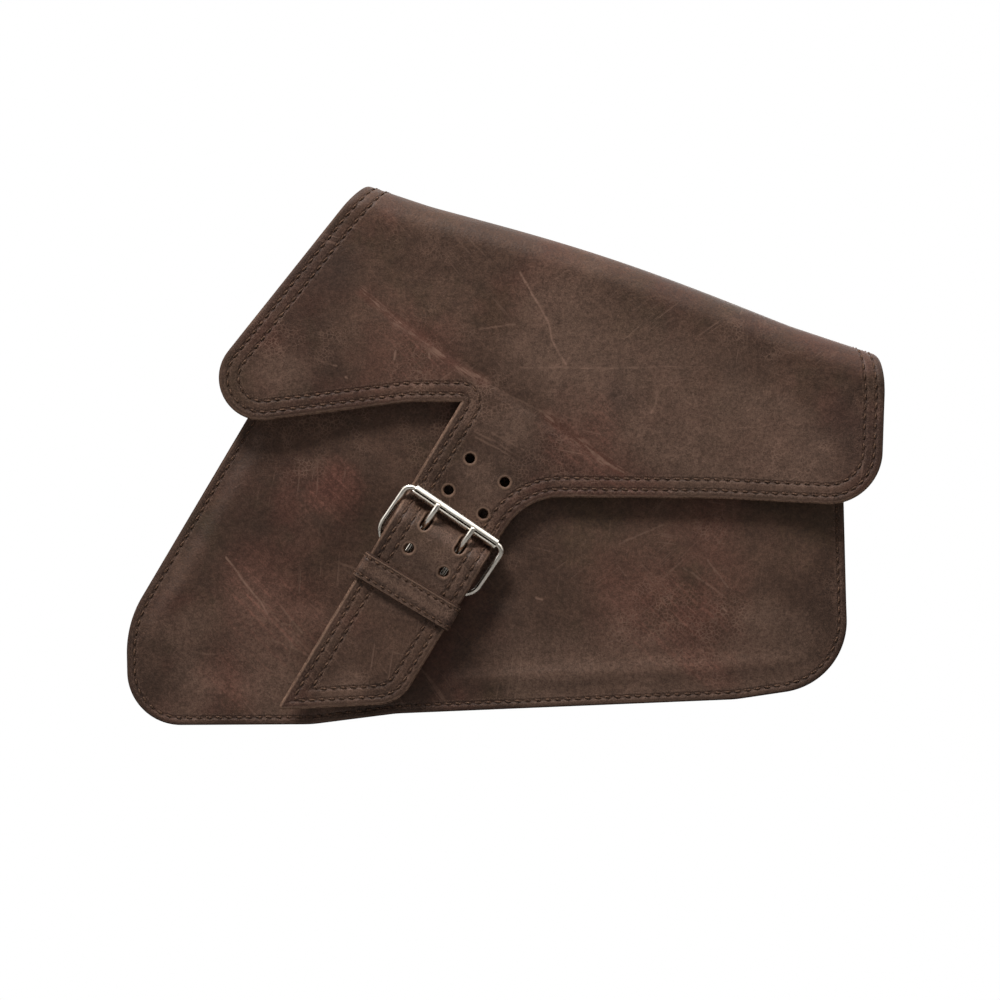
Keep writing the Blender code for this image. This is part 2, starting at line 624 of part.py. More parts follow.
def mount_strap(side, word, back):
    """One mounting strap with its rivet, chape, buckle, prong and keeper, laid flat on the back."""
    seat = Seat((side * MOUNT_X, MOUNT_HEEL_Z), 0.0, BACK_Y, 1.0)
    lift = MOUNT_HEEL_LIFT
    start, tip = MOUNT_RISE[0][0], MOUNT_RISE[-1][0]
    flat_end = MOUNT_RISE[1][0]
    stations = [(start, lift + MOUNT_RISE[0][1], MOUNT_HALF)]
    stations += [(a, lift + curve(MOUNT_RISE, a), MOUNT_HALF) for a in spread(flat_end, 20.0, 2.0)]
    stations.append((tip - MOUNT_HALF, lift + curve(MOUNT_RISE, tip - MOUNT_HALF), MOUNT_HALF))
    stations.append((tip, lift + MOUNT_RISE[-1][1], MOUNT_HALF / 5.0))
    strap = ribbon("mount_strap_" + word, seat, stations, MOUNT_STRAP, "leather")
    reach = (-MOUNT_SLOT_HALF, MOUNT_SLOT_HALF)
    slot_floor = lift + MOUNT_STRAP / 2.0 + 0.8
    cut(strap, block("mount_slot_cutter_" + word, seat, MOUNT_SLOT_ENDS, reach, (slot_floor, 24.0)))
    hole = turned("rivet_hole_cutter_" + word, ((RIVET_SHANK + 0.4, -6.0), (RIVET_SHANK + 0.4, 8.0)),
                  seat, (RIVET_AT, 0.0), None, sides=12)
    cut(strap, hole)
    cut(back, hole)
    head = lift + MOUNT_RISE[0][1] + MOUNT_STRAP / 2.0 + GAP
    profile = ((RIVET_SHANK, -2.7), (RIVET_SHANK, head), (RIVET_HEAD, head), (RIVET_HEAD * 0.9, head + 1.0),
               (RIVET_HEAD * 0.5, head + 1.9))
    turned("mount_rivet_" + word, profile, seat, (RIVET_AT, 0.0), "nickel", sides=16)
    chape("mount_chape_" + word, seat, lift, MOUNT_CHAPE_LENGTH, MOUNT_WIRE, CHAPE, MOUNT_CHAPE_HALF,
          (0.0,), MOUNT_NOTCH_HALF)
    frame = buckle_frame("mount_buckle_" + word, seat, lift, MOUNT_FRAME_HALF, MOUNT_FRAME_LENGTH,
                         MOUNT_BAR_RISE, (MOUNT_CORNER, MOUNT_CORNER), MOUNT_WIRE)
    prong("mount_prong_" + word, seat, lift, 0.0, MOUNT_PRONG_RISE, MOUNT_PRONG, frame)
    keeper("mount_keeper_" + word, seat, MOUNT_KEEPER_AT, MOUNT_KEEPER_BACK, MOUNT_KEEPER_TOP,
           MOUNT_KEEPER_HALF)


def build():
    for old in list(bpy.data.objects):
        bpy.data.objects.remove(old)
    back = bag_body()
    sheet = flap()
    front_buckle(sheet)
    for side, word in ((-1, "left"), (1, "right")):
        mount_strap(side, word, back)


build()
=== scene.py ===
"""Looks of a leather saddlebag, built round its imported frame.

X runs to the right as seen from the front, Z is up, and the front faces -Y. Lengths are in
millimetres here, and MM turns them into metres as each mesh is made.
"""
import math

import bmesh
import bpy
import numpy as np
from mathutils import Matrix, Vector
from mathutils.geometry import delaunay_2d_cdt


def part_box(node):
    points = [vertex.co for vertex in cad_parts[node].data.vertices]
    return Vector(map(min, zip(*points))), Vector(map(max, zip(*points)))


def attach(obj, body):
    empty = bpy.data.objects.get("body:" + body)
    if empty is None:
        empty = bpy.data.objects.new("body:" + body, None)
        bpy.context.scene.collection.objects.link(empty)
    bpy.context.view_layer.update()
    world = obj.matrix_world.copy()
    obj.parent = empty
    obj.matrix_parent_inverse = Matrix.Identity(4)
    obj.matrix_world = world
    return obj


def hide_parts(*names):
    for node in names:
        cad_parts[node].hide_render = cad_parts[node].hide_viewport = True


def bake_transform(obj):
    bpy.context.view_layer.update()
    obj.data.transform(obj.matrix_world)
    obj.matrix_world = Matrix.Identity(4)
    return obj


MM = 0.001
QUARTER = math.pi / 2.0
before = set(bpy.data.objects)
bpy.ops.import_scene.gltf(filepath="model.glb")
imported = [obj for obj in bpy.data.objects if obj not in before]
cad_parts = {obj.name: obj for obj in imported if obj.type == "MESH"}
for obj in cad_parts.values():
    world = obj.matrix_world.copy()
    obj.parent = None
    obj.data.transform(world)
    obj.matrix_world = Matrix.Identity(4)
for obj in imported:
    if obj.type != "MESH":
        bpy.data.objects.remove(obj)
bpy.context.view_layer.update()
PANEL_LOW, PANEL_HIGH = [np.array(corner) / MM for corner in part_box("front_panel")]
PAD_LOW, PAD_HIGH = [np.array(corner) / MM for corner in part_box("mount_pad")]

# Levels that come from the frame
FRONT_Y = PANEL_LOW[1]
BACK_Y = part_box("back_panel")[1][1] / MM
PANEL = PANEL_HIGH[1] - FRONT_Y
RIGHT_X = PANEL_HIGH[0]

# Body outline, as the frame has it: corners are (x, z, radius)
TOP_SLOPE = math.radians(18.4)
BODY_TOP = 121.0
BACK_TOP = 122.4
LEFT_LEAN = math.radians(59.4)
BODY_BOTTOM = (
    (-187.5, -62.0, 55.0),
    (-186.4, -113.0, 27.0),
    (-94.5, -112.5, 60.0),
    (-52.0, -107.1, 60.0),
    (118.0, -100.0, 60.0),
    (175.0, -91.5, 36.0),
    (173.6, -50.0, 90.0),
)
BACK_DROP = 1.6                  # how far the back panel hangs below the front one
CROWN = 2.8                      # how far the front panel swells below the flap

# Flap and strap, as the frame has them
FLAP = 3.4
FLAP_LIFT = 8.0
FOLD_START = 115.0
FOLD_RADIUS = 12.0
FOLD_END = FOLD_START + FOLD_RADIUS * QUARTER
FOLD_ARCH = 4.0                  # how far the fold rises in the middle
ROLL_RADIUS = 3.5                # bend over the back panel's top edge
ROLL_Y = -5.0
ROLL_START = FOLD_END + ROLL_Y - (FRONT_Y - FLAP_LIFT + FOLD_RADIUS)
ROLL_END = ROLL_START + ROLL_RADIUS * QUARTER
FLAP_END = ROLL_END + 24.0       # the last strip is sewn to the back panel
STRAP_START = (2.4, 35.9)
STRAP_LEAN = math.radians(30.9)
STRAP_HALF = 25.5
HEEL_AT = 81.4
HEEL_LIFT = 6.1
BUCKLE_LEAN = math.radians(34.2)
STRAP_RISE = (
    (-51.4, 1.9), (-36.0, 0.0), (-30.5, -0.4), (-26.5, 0.8), (-23.5, 3.9), (-20.5, 7.2),
    (-17.0, 9.4), (-12.0, 9.7), (-4.0, 8.4), (0.0, 7.0), (4.0, 5.6), (8.0, 4.5),
    (14.0, 3.9), (24.0, 3.2), (40.0, 2.4), (98.4, 1.6),
)
PRONG_RISE = (
    (-32.0, 9.8), (-29.0, 9.8), (-26.0, 9.6), (-21.5, 8.0), (-17.0, 5.7), (-12.0, 4.0),
    (-6.0, 3.2), (0.0, 3.1),
)
FLAP_CORNERS = (
    (-168.3, 33.2, 33.0),
    (-113.0, 40.3, 60.0),
    (-45.0, 49.0, 60.0),
    (-19.5, 49.0, 0.0),
    (-111.7, -105.0, 1.6),
    (-50.2, -101.9, 20.0),
    (12.4, 1.5, 32.0),
    (110.0, 0.7, 90.0),
    (190.3, -3.5, 27.0),
)
LINING_CORNERS = (
    (-160.0, 41.0, 18.0),
    (-45.0, 56.0, 60.0),
    (-12.0, 52.0, 6.0),
    (-2.0, 31.0, 6.0),
    (26.0, 8.0, 12.0),
    (183.0, 4.0, 16.0),
)
LINING_THICK = 1.0
PRONG_SPACING = 10.5
HOLE = 2.5
HOLE_ROWS = (-59.0, -40.0, -5.0)
SLOT_AT = -20.3                  # where a prong passes through the strap
KEEPER_AT = 95.0
KEEPER_HALF = 7.0
SNAP_AT = 15.0

# Mounting straps, as the frame has them
MOUNT_X = 90.0
MOUNT_HEEL_Z = -22.0
MOUNT_LIFT = 5.6
MOUNT_HALF = 12.5
MOUNT_STRAP = 2.6
RIVET_AT = -77.0
MOUNT_RISE = (
    (-85.0, -4.0), (-38.0, -4.0), (-30.0, -2.0), (-25.0, -0.4), (-22.0, 0.0), (-19.5, 0.9),
    (-17.0, 3.2), (-14.0, 6.0), (-11.0, 7.0), (-6.0, 6.9), (0.0, 5.6), (5.0, 4.3),
    (10.0, 3.2), (16.0, 2.8), (30.0, 2.7), (62.0, 2.2),
)
MOUNT_PRONG_RISE = (
    (-26.0, 6.1), (-22.0, 6.2), (-17.0, 5.6), (-13.0, 4.6), (-9.0, 3.4), (-5.0, 2.8), (0.0, 2.7),
)

# Stitching
PITCH = 5.0
THREAD = 0.52                    # radius
GROOVE = 0.34                    # depth of the line that the stitches lie in
PIT_LONG = 1.25                  # half length and half width of the hole at a stitch's end
PIT_WIDE = 0.62
BODY_ROWS = (3.8,)
FLAP_ROWS = (4.2, 9.6)

# Edge of a cut piece of leather, and rim of a punched hole: how far in from the wall, and how
# much of the half thickness is left
EDGE = ((0.14, 0.0), (0.0, 0.46), (0.2, 0.7), (0.65, 0.87), (1.25, 0.975), (1.9, 1.0))
HOLE_RINGS = ((0.1, 0.0), (0.0, 0.5), (0.06, 0.8), (0.3, 1.04), (0.8, 1.06), (1.5, 1.0))
HOLE_CLEAR = HOLE_RINGS[-1][0]


# ---------------------------------------------------------------- geometry


def unit(vectors):
    return vectors / np.linalg.norm(vectors, axis=-1, keepdims=True)


def left_of(directions):
    """Flat directions turned a quarter to the left."""
    return np.stack((-directions[:, 1], directions[:, 0]), axis=1)


def lengths(path):
    """How far along a path each of its points lies."""
    return np.concatenate(([0.0], np.cumsum(np.linalg.norm(np.diff(path, axis=0), axis=1))))


def stack(x, y, z):
    return np.stack(np.broadcast_arrays(x, y, z), axis=-1).astype(float)


def smooth(low, high, value):
    """0 at low, 1 at high, and a smooth step between."""
    f = np.clip((value - low) / (high - low), 0.0, 1.0)
    return f * f * (3.0 - 2.0 * f)


def curve(knots, x):
    """Smooth curve through knots (x, y), level beyond both ends."""
    xs, ys = np.array(knots, float).T
    slopes = np.zeros(len(xs))
    slopes[1:-1] = (ys[2:] - ys[:-2]) / (xs[2:] - xs[:-2])
    x = np.clip(np.asarray(x, float), xs[0], xs[-1])
    i = np.clip(np.searchsorted(xs, x) - 1, 0, len(xs) - 2)
    width = xs[i + 1] - xs[i]
    f = (x - xs[i]) / width
    start = (1 + 2 * f) * (1 - f) ** 2 * ys[i] + f * (1 - f) ** 2 * width * slopes[i]
    finish = f * f * (3 - 2 * f) * ys[i + 1] + f * f * (f - 1) * width * slopes[i + 1]
    return start + finish


def on_slope(s, h):
    """The x and z of a point s along the bag's slanting top and h square to it."""
    return (s * math.cos(TOP_SLOPE) + h * math.sin(TOP_SLOPE),
            h * math.cos(TOP_SLOPE) - s * math.sin(TOP_SLOPE))


def to_slope(x, z):
    return (x * math.cos(TOP_SLOPE) - z * math.sin(TOP_SLOPE),
            x * math.sin(TOP_SLOPE) + z * math.cos(TOP_SLOPE))


class Seat:
    """Frame on a panel: a runs along a strap to its tip, b across it, and w out from the panel."""

    def __init__(self, centre, lean, face_y, outward):
        self.origin = np.array((centre[0], face_y, centre[1]))
        self.along = np.array((-math.sin(lean), 0.0, -math.cos(lean)))
        self.across = np.array((math.cos(lean), 0.0, -math.sin(lean)))
        self.out = np.array((0.0, outward, 0.0))

    def at(self, a, b, w):
        return self.origin + sum(np.multiply.outer(np.asarray(value, float), axis)
                                 for value, axis in ((a, self.along), (b, self.across), (w, self.out)))

    def find(self, x, z):
        """The a and b of points on the panel."""
        offset = stack(x - self.origin[0], 0.0, z - self.origin[2])
        return offset @ self.along, offset @ self.across

    def flat(self, a, b):
        """Place of a point on the front, in the flap's flat pattern."""
        spot = self.at(a, b, 0.0)
        return to_slope(spot[0], spot[2])


STRAP = Seat(STRAP_START, STRAP_LEAN, FRONT_Y, -1.0)
BUCKLE = Seat(STRAP.at(HEEL_AT, 0.0, 0.0)[::2], BUCKLE_LEAN, FRONT_Y, -1.0)


# ---------------------------------------------------------------- outlines and sheets of leather


class Outline:
    """A closed outline with rounded corners, that can be drawn at any inset with the same points."""

    def __init__(self, corners, spacing=1.3, deepest=10.0):
        corners = np.array(corners, float)
        ahead = np.roll(corners, -1, axis=0)
        if np.sum(corners[:, 0] * ahead[:, 1] - ahead[:, 0] * corners[:, 1]) < 0.0:
            corners = corners[::-1]
        self.points, self.radii = corners[:, :2], corners[:, 2]
        step = np.roll(self.points, -1, axis=0) - self.points
        self.leave = unit(step)
        self.arrive = np.roll(self.leave, 1, axis=0)
        cross = self.arrive[:, 0] * self.leave[:, 1] - self.arrive[:, 1] * self.leave[:, 0]
        self.turn = np.arctan2(cross, np.sum(self.arrive * self.leave, axis=1))
        self.radii = self.fitted(np.linalg.norm(step, axis=1))
        grown = np.where(self.turn > 0.0, self.radii, self.radii + deepest / 2.0)
        self.arc_steps = np.maximum(2, np.ceil(grown * np.abs(self.turn) / spacing)).astype(int)
        starts, ends, _ = self.tangents(0.0)
        runs = np.linalg.norm(np.roll(starts, -1, axis=0) - ends, axis=1)
        self.run_steps = np.maximum(1, np.round(runs / spacing)).astype(int)

    def fitted(self, sides):
        """Radii cut down where two corners would overlap, at the corner that turns less."""
        slope = np.tan(np.maximum(np.abs(self.turn), 1e-4) / 2.0)
        reach = self.radii * slope
        for i, length in enumerate(sides):
            j = (i + 1) % len(sides)
            if reach[i] + reach[j] > 0.97 * length:
                small, large = (i, j) if abs(self.turn[i]) < abs(self.turn[j]) else (j, i)
                reach[large] = min(reach[large], 0.94 * length)
                reach[small] = 0.97 * length - reach[large]
        return reach / slope

    def tangents(self, inset):
        """Where each corner's arc starts and ends, and its centre."""
        left, before = left_of(self.leave), left_of(self.arrive)
        share = 1.0 + np.sum(left * before, axis=1)
        corner = self.points + inset * (left + before) / share[:, None]
        radius = np.where(self.turn > 0.0, np.maximum(self.radii - inset, 0.05), self.radii + inset)
        reach = radius * np.tan(np.abs(self.turn) / 2.0)
        starts = corner - self.arrive * reach[:, None]
        ends = corner + self.leave * reach[:, None]
        return starts, ends, starts + before * (np.sign(self.turn) * radius)[:, None]

    def ring(self, inset):
        starts, ends, centres = self.tangents(inset)
        points = []
        for i, (spoke_x, spoke_y) in enumerate(starts - centres):
            angles = np.linspace(0.0, self.turn[i], self.arc_steps[i] + 1)
            c, s = np.cos(angles), np.sin(angles)
            arc = np.stack((c * spoke_x - s * spoke_y, s * spoke_x + c * spoke_y), axis=1)
            points.append(centres[i] + arc)
            shares = np.linspace(0.0, 1.0, self.run_steps[i] + 1)[1:-1, None]
            points.append(ends[i] + (starts[(i + 1) % len(starts)] - ends[i]) * shares)
        return np.concatenate(points)


class Slot:
    """A hole with round ends, with rings that grow outwards from its wall."""

    def __init__(self, centre, radius, half_length=0.0, direction=(1.0, 0.0), steps=20):
        self.centre = np.array(centre, float)
        self.radius = radius
        self.half = half_length
        self.ahead = np.array(direction, float)
        self.steps = steps

    def ring(self, inset):
        angles = np.arange(self.steps) * 2.0 * math.pi / self.steps + 0.01
        side = np.sign(np.cos(angles))[:, None]
        angles = math.atan2(self.ahead[1], self.ahead[0]) - angles
        spokes = np.stack((np.cos(angles), np.sin(angles)), axis=1)
        return self.centre + side * self.half * self.ahead + (self.radius + inset) * spokes

    def holds(self, points):
        offset = points - self.centre
        along = np.clip(offset @ self.ahead, -self.half, self.half)
        return np.linalg.norm(offset - along[:, None] * self.ahead, axis=1) < self.radius + HOLE_CLEAR


def inside(polygon, points):
    """Which points lie inside a polygon."""
    found = np.zeros(len(points), bool)
    x, y = points.T
    for (x0, y0), (x1, y1) in zip(polygon, np.roll(polygon, -1, axis=0)):
        if y0 != y1:
            found ^= ((y0 > y) != (y1 > y)) & (x < (x1 - x0) * (y - y0) / (y1 - y0) + x0)
    return found


def nearest(points, targets, batch=2000):
    """Distance from each point to the nearest target point."""
    best = [np.zeros(0)]
    for k in range(0, len(points), batch):
        gap = points[k:k + batch, None, :] - targets[None, :, :]
        best.append(np.sqrt(np.min(np.sum(gap * gap, axis=2), axis=1)))
    return np.concatenate(best)


def ring_insets(rows, deepest, widest=2.2):
    """Insets of a sheet's rings past its edge, close together where stitches lie."""
    insets = [EDGE[-1][0]]
    for mark in sorted({deepest} | {row + k * 0.45 for row in rows for k in range(-3, 4)}):
        gap = mark - insets[-1]
        steps = max(1, math.ceil(gap / widest))
        insets += [mark - gap * k / steps for k in range(steps - 1, -1, -1)]
    return insets[1:]


def bands(rings, sides, closed=False):
    """Faces between rings that have the same number of points."""
    return [(i * sides + k, i * sides + (k + 1) % sides,
             (i + 1) % rings * sides + (k + 1) % sides, (i + 1) % rings * sides + k)
            for i in range(rings if closed else rings - 1) for k in range(sides)]


def caps(rings, sides):
    """Faces over the first and the last of some rings."""
    return [tuple(range(start, start + sides)) for start in (0, (rings - 1) * sides)]


def copies(faces, count, per, base=0):
    """The same faces on each of several equal sets of points."""
    faces = np.array(faces)
    return (base + per * np.arange(count)[:, None, None] + faces).reshape(-1, faces.shape[1]).tolist()


def face_directions(middle, u, v, step=0.05):
    """Directions square to a surface."""
    du = middle(u + step, v) - middle(u - step, v)
    dv = middle(u, v + step) - middle(u, v - step)
    return unit(np.cross(du, dv))


class Sheet:
    """A piece of leather: a flat pattern, and the middle surface that it is bent to."""

    def __init__(self, outline, middle, thickness, rows=(), holes=(), cell=3.0, sag=None, flip=1.0):
        self.outline = outline
        self.middle = middle
        self.half = thickness / 2.0
        self.rows = rows
        self.holes = holes
        self.cell = cell
        self.sag = sag
        self.flip = flip

    def place(self, uv):
        """Points on the middle surface, and the directions out of the leather's grain side."""
        points = self.middle(*uv.T)
        normal = face_directions(self.middle, *uv.T) * self.flip
        if self.sag:
            points = points + normal * self.sag(uv)[:, None]
        return points, normal

    def pattern(self):
        """Flat points, share of the half thickness and depth at each, quads in rings, and triangles."""
        deepest = (max(self.rows) + 1.6) if self.rows else 2.6
        steps = list(EDGE) + [(inset, 1.0) for inset in ring_insets(self.rows, deepest)]
        points, share, depth, quads, borders = [], [], [], [], []
        total = 0
        for loop, loop_steps in [(self.outline, steps)] + [(hole, HOLE_RINGS) for hole in self.holes]:
            for k, (inset, left) in enumerate(loop_steps):
                ring = loop.ring(inset)
                count = len(ring)
                points.append(ring)
                share.append(np.full(count, left))
                depth.append(np.full(count, inset))
                if k:
                    near = total - count + np.arange(count)
                    far = total + np.arange(count)
                    quads.append(np.stack((near, np.roll(near, -1), np.roll(far, -1), far), axis=1))
                total += count
            borders.append(np.arange(total - count, total))
        points = np.concatenate(points)
        grid = self.grid(points[borders[0]])
        border = np.concatenate(borders)
        flat = np.concatenate((points[border], grid))
        index = np.concatenate((border, total + np.arange(len(grid))))
        edges = []
        for loop in borders:
            start, count = len(edges), len(loop)
            edges += [(start + i, start + (i + 1) % count) for i in range(count)]
        filled = delaunay_2d_cdt([Vector(p) for p in flat], edges, [], 1, 1e-7)
        order = np.array([source[0] if source else -1 for source in filled[3]])
        triangles = order[np.array(filled[2])]
        triangles = triangles[triangles.min(axis=1) >= 0]
        for hole in self.holes:
            triangles = triangles[~hole.holds(flat[triangles].mean(axis=1))]
        share.append(np.ones(len(grid)))
        depth.append(np.full(len(grid), deepest + self.cell))
        return (np.concatenate((points, grid)), np.concatenate(share), np.concatenate(depth),
                np.concatenate(quads), index[triangles])

    def grid(self, outer):
        """Evenly spaced points inside the innermost ring and clear of the holes."""
        half = self.cell / 2.0
        columns, lines = [np.arange(outer[:, k].min() + half, outer[:, k].max(), self.cell) for k in (0, 1)]
        grid = np.stack(np.meshgrid(columns, lines), axis=-1).reshape(-1, 2)
        grid = grid[inside(outer, grid)]
        grid = grid[nearest(grid, outer) > self.cell * 0.55]
        for hole in self.holes:
            rim = hole.ring(HOLE_CLEAR)
            grid = grid[~inside(rim, grid)]
            grid = grid[nearest(grid, rim) > self.cell * 0.3]
        return grid

    def cut(self, node, body, finishes):
        """The sheet as a leather piece in place of a CAD node."""
        ride(self.solid(node + "_leather", finishes), body, "leather", node)

    def solid(self, name, finishes):
        """The sheet as one closed mesh, with grain, edge and back materials."""
        uv, share, depth, quads, triangles = self.pattern()
        middle, normal = self.place(uv)
        level = [smooth(0.35, 1.2, np.abs(depth - row)) for row in self.rows]
        press = GROOVE * (len(level) - sum(level))
        top = middle + normal * (self.half * share - press)[:, None]
        under = middle - normal * (self.half * share)[:, None]
        inner = share > 0.0
        below = np.where(inner, len(uv) + np.cumsum(inner) - 1, np.arange(len(uv)))
        edge = depth[quads].max(axis=1) < EDGE[3][0] + 0.01
        slots = [np.where(edge, 1, 0), np.zeros(len(triangles), int),
                 np.where(edge, 1, 2), np.full(len(triangles), 2)]
        faces = quads.tolist() + triangles.tolist()
        faces += below[quads][:, ::-1].tolist() + below[triangles][:, ::-1].tolist()
        piece = make(name, np.concatenate((top, under[inner])), faces, finishes, np.concatenate(slots))
        reach = piece.data.attributes.new("rim", "FLOAT", "POINT")
        depth = np.minimum(depth, 40.0)
        reach.data.foreach_set("value", np.concatenate((depth, depth[inner])).astype(np.float32))
        return piece


def make(name, points, faces, finishes, slots=None):
    """One mesh object from points in millimetres."""
    mesh = bpy.data.meshes.new(name)
    mesh.from_pydata((np.asarray(points) * MM).tolist(), [], faces)
    for finish in finishes:
        mesh.materials.append(finish)
    if slots is not None:
        mesh.polygons.foreach_set("material_index", np.asarray(slots, np.int32))
    shape = bmesh.new()
    shape.from_mesh(mesh)
    bmesh.ops.recalc_face_normals(shape, faces=shape.faces)
    shape.to_mesh(mesh)
    shape.free()
    mesh.shade_smooth()
    piece = bpy.data.objects.new(name, mesh)
    bpy.context.scene.collection.objects.link(piece)
    return piece


def ride(piece, body, slot, *nodes):
    """Puts a finished piece on its body or across the flap's hinge, in place of its CAD nodes."""
    if body == "hinge":
        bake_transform(piece)
    else:
        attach(piece, body)
    if nodes:
        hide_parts(*nodes)


# ---------------------------------------------------------------- stitches


def stitches(name, body, sheet, paths, side=1.0, closed=True, keep=None, pitch=PITCH):
    """Thread laid from hole to hole in a sheet's grooves, with a hole at each end: a small cup in near-black
    painted shade.
    """
    starts, ends = [], []
    for path in paths:
        if closed:
            path = np.concatenate((path, path[:1]))
        reach = lengths(path)
        marks = np.linspace(0.0, reach[-1], max(2, int(round(reach[-1] / pitch))) + 1)
        spots = np.stack([np.interp(marks, reach, path[:, k]) for k in (0, 1)], axis=1)
        starts.append(spots[:-1])
        ends.append(spots[1:])
    starts, ends = np.concatenate(starts), np.concatenate(ends)
    if keep is not None:
        chosen = keep((starts + ends) / 2.0)
        starts, ends = starts[chosen], ends[chosen]
    run = ends - starts
    across = unit(left_of(run)) * 0.3                    # the slant of a stitch
    sides, steps, count = 6, 7, len(starts)
    angles = np.arange(sides) * 2.0 * math.pi / sides
    top = sheet.half - (GROOVE if side > 0 else 0.0)
    rings = []
    for share in np.linspace(0.1, 0.9, steps):
        bow = max(math.sin(math.pi * (share - 0.1) / 0.8), 0.0)
        uv = starts + run * share + across * (1.0 - 2.0 * share)
        middle, normal = sheet.place(uv)
        lateral = np.cross(normal, unit(sheet.place(uv + run * 0.02)[0] - middle))
        radius = THREAD * (0.55 + 0.45 * bow ** 0.5)
        lift = side * (top - 0.6 + 0.86 * bow ** 0.7 + radius * np.sin(angles))
        rings.append(middle[:, None] + normal[:, None] * lift[:, None]
                     + lateral[:, None] * (radius * np.cos(angles))[:, None])
    rim, spots = 8, np.concatenate((starts, ends))
    angles = np.arange(rim) * 2.0 * math.pi / rim
    middle, normal = sheet.place(spots)
    du = unit(sheet.place(spots + np.concatenate((run, run)) * 0.02)[0] - middle)
    spokes = (du[:, None] * (PIT_LONG * np.cos(angles))[:, None]
              + np.cross(normal, du)[:, None] * (PIT_WIDE * np.sin(angles))[:, None])
    pits = [(middle + normal * side * (top + 0.05 - drop * (side > 0)))[:, None] + spokes * radius
            for radius, drop in ((1.0, 0.0), (0.85, 0.1), (0.5, 0.45))]
    per, pit_rings = sides * steps, len(pits)
    points = np.concatenate([np.concatenate(group, axis=1).reshape(-1, 3) for group in (rings, pits)])
    thread = copies(bands(steps, sides), count, per) + copies(caps(steps, sides), count, per)
    holes = (copies(bands(pit_rings, rim), 2 * count, pit_rings * rim, count * per)
             + copies(caps(pit_rings, rim)[1:], 2 * count, pit_rings * rim, count * per))
    slots = [0] * len(thread) + [1] * len(holes)
    ride(make(name, points, thread + holes, [THREAD_FINISH, PAINTED_SHADE], slots), body, "leather")


# ---------------------------------------------------------------- metalwork


def tube(node, body, path, radii, side, closed, sides):
    """Round nickel bar along a path that bends square to the side direction."""
    radii = np.broadcast_to(radii, (len(path),))
    if closed:
        travel = unit(np.roll(path, -1, axis=0) - np.roll(path, 1, axis=0))
    else:
        travel = unit(np.gradient(path, axis=0))
    side = unit(np.asarray(side, float))
    lateral = unit(np.cross(travel, side))
    angles = (np.arange(sides) * 2.0 * math.pi / sides)[:, None]
    spokes = side * np.cos(angles) + lateral[:, None] * np.sin(angles)
    points = path[:, None] + spokes * radii[:, None, None]
    faces = bands(len(path), sides, closed) + ([] if closed else caps(len(path), sides))
    ride(make(node + "_nickel", points.reshape(-1, 3), faces, [NICKEL]), body, "nickel", node)


def turned(node, body, profile, centre, axis, sides=40, seam=None):
    """Nickel turned about an axis. The profile holds (radius, along) pairs, and closes on itself.

    A seam is a line sunk along it: an angle, a depth, a half width, and the radius where it starts. Its
    floor takes the near-black painted shade.
    """
    hollow = profile[0] == profile[-1]
    profile = np.array(profile[:-1] if hollow else profile)
    radii, along = profile.T[..., None]
    angles = np.arange(sides) * 2.0 * math.pi / sides
    slots = None
    if seam:
        angle, depth, width, start = seam
        sink = depth * np.exp(-(((angles - angle) * radii / width) ** 4)) * (radii > start)
        facing = np.abs(angles + math.pi / sides - angle) * radii.max() < width * 0.8
        deep = np.minimum(radii, np.roll(radii, -1, axis=0)) > start - 0.5
        slots = (deep & facing).astype(int).ravel()
    else:
        sink = 0.0
    one = unit(np.cross(axis, (0.0, 0.0, 1.0) if abs(axis[2]) < 0.9 else (1.0, 0.0, 0.0)))
    spokes = np.outer(np.cos(angles), one) + np.outer(np.sin(angles), np.cross(axis, one))
    points = centre + axis * along[..., None] + (radii - sink)[..., None] * spokes
    faces = bands(len(profile), sides, hollow) + ([] if hollow else caps(len(profile), sides))
    # faces on the seam's floor take the near-black painted shade
    finishes = [NICKEL, PAINTED_SHADE] if seam else [NICKEL]
    ride(make(node + "_nickel", points.reshape(-1, 3), faces, finishes, slots), body, "nickel", node)


# ---------------------------------------------------------------- materials


def colour(red, green, blue):
    """Linear colour from display values of 0 to 255."""
    def linear(value):
        value /= 255.0
        return value / 12.92 if value <= 0.04045 else ((value + 0.055) / 1.055) ** 2.4
    return (linear(red), linear(green), linear(blue), 1.0)


class Value:
    """A number that a shader node puts out. Arithmetic on it adds nodes."""

    def __init__(self, nodes, socket):
        self.nodes = nodes
        self.socket = socket

    def __add__(self, other):
        return self.nodes.math("ADD", self, other)

    def __sub__(self, other):
        return self.nodes.math("SUBTRACT", self, other)

    def __mul__(self, other):
        return self.nodes.math("MULTIPLY", self, other)

    def __abs__(self):
        return self.nodes.math("ABSOLUTE", self)

    def most(self, other):
        return self.nodes.math("MAXIMUM", self, other)

    def ramp(self, low, high, start=0.0, finish=1.0):
        """Smooth step from start, where this is low, to finish, where it is high."""
        made = self.nodes.add("ShaderNodeMapRange", interpolation_type="SMOOTHSTEP")
        for key, value in (("Value", self), ("From Min", low), ("From Max", high),
                           ("To Min", start), ("To Max", finish)):
            self.nodes.feed(made.inputs[key], value)
        return Value(self.nodes, made.outputs["Result"])


class Vectors(Value):
    """A place or a colour that a shader node puts out."""

    def __add__(self, other):
        return self.nodes.vector("ADD", self, other)

    def __sub__(self, other):
        return self.nodes.vector("SUBTRACT", self, other)

    def __mul__(self, other):
        return self.nodes.vector("MULTIPLY" if isinstance(other, tuple) else "SCALE", self, other)

    def toward(self, share, other):
        """This colour, mixed by a share with another."""
        return self.nodes.mix(share, self, other)


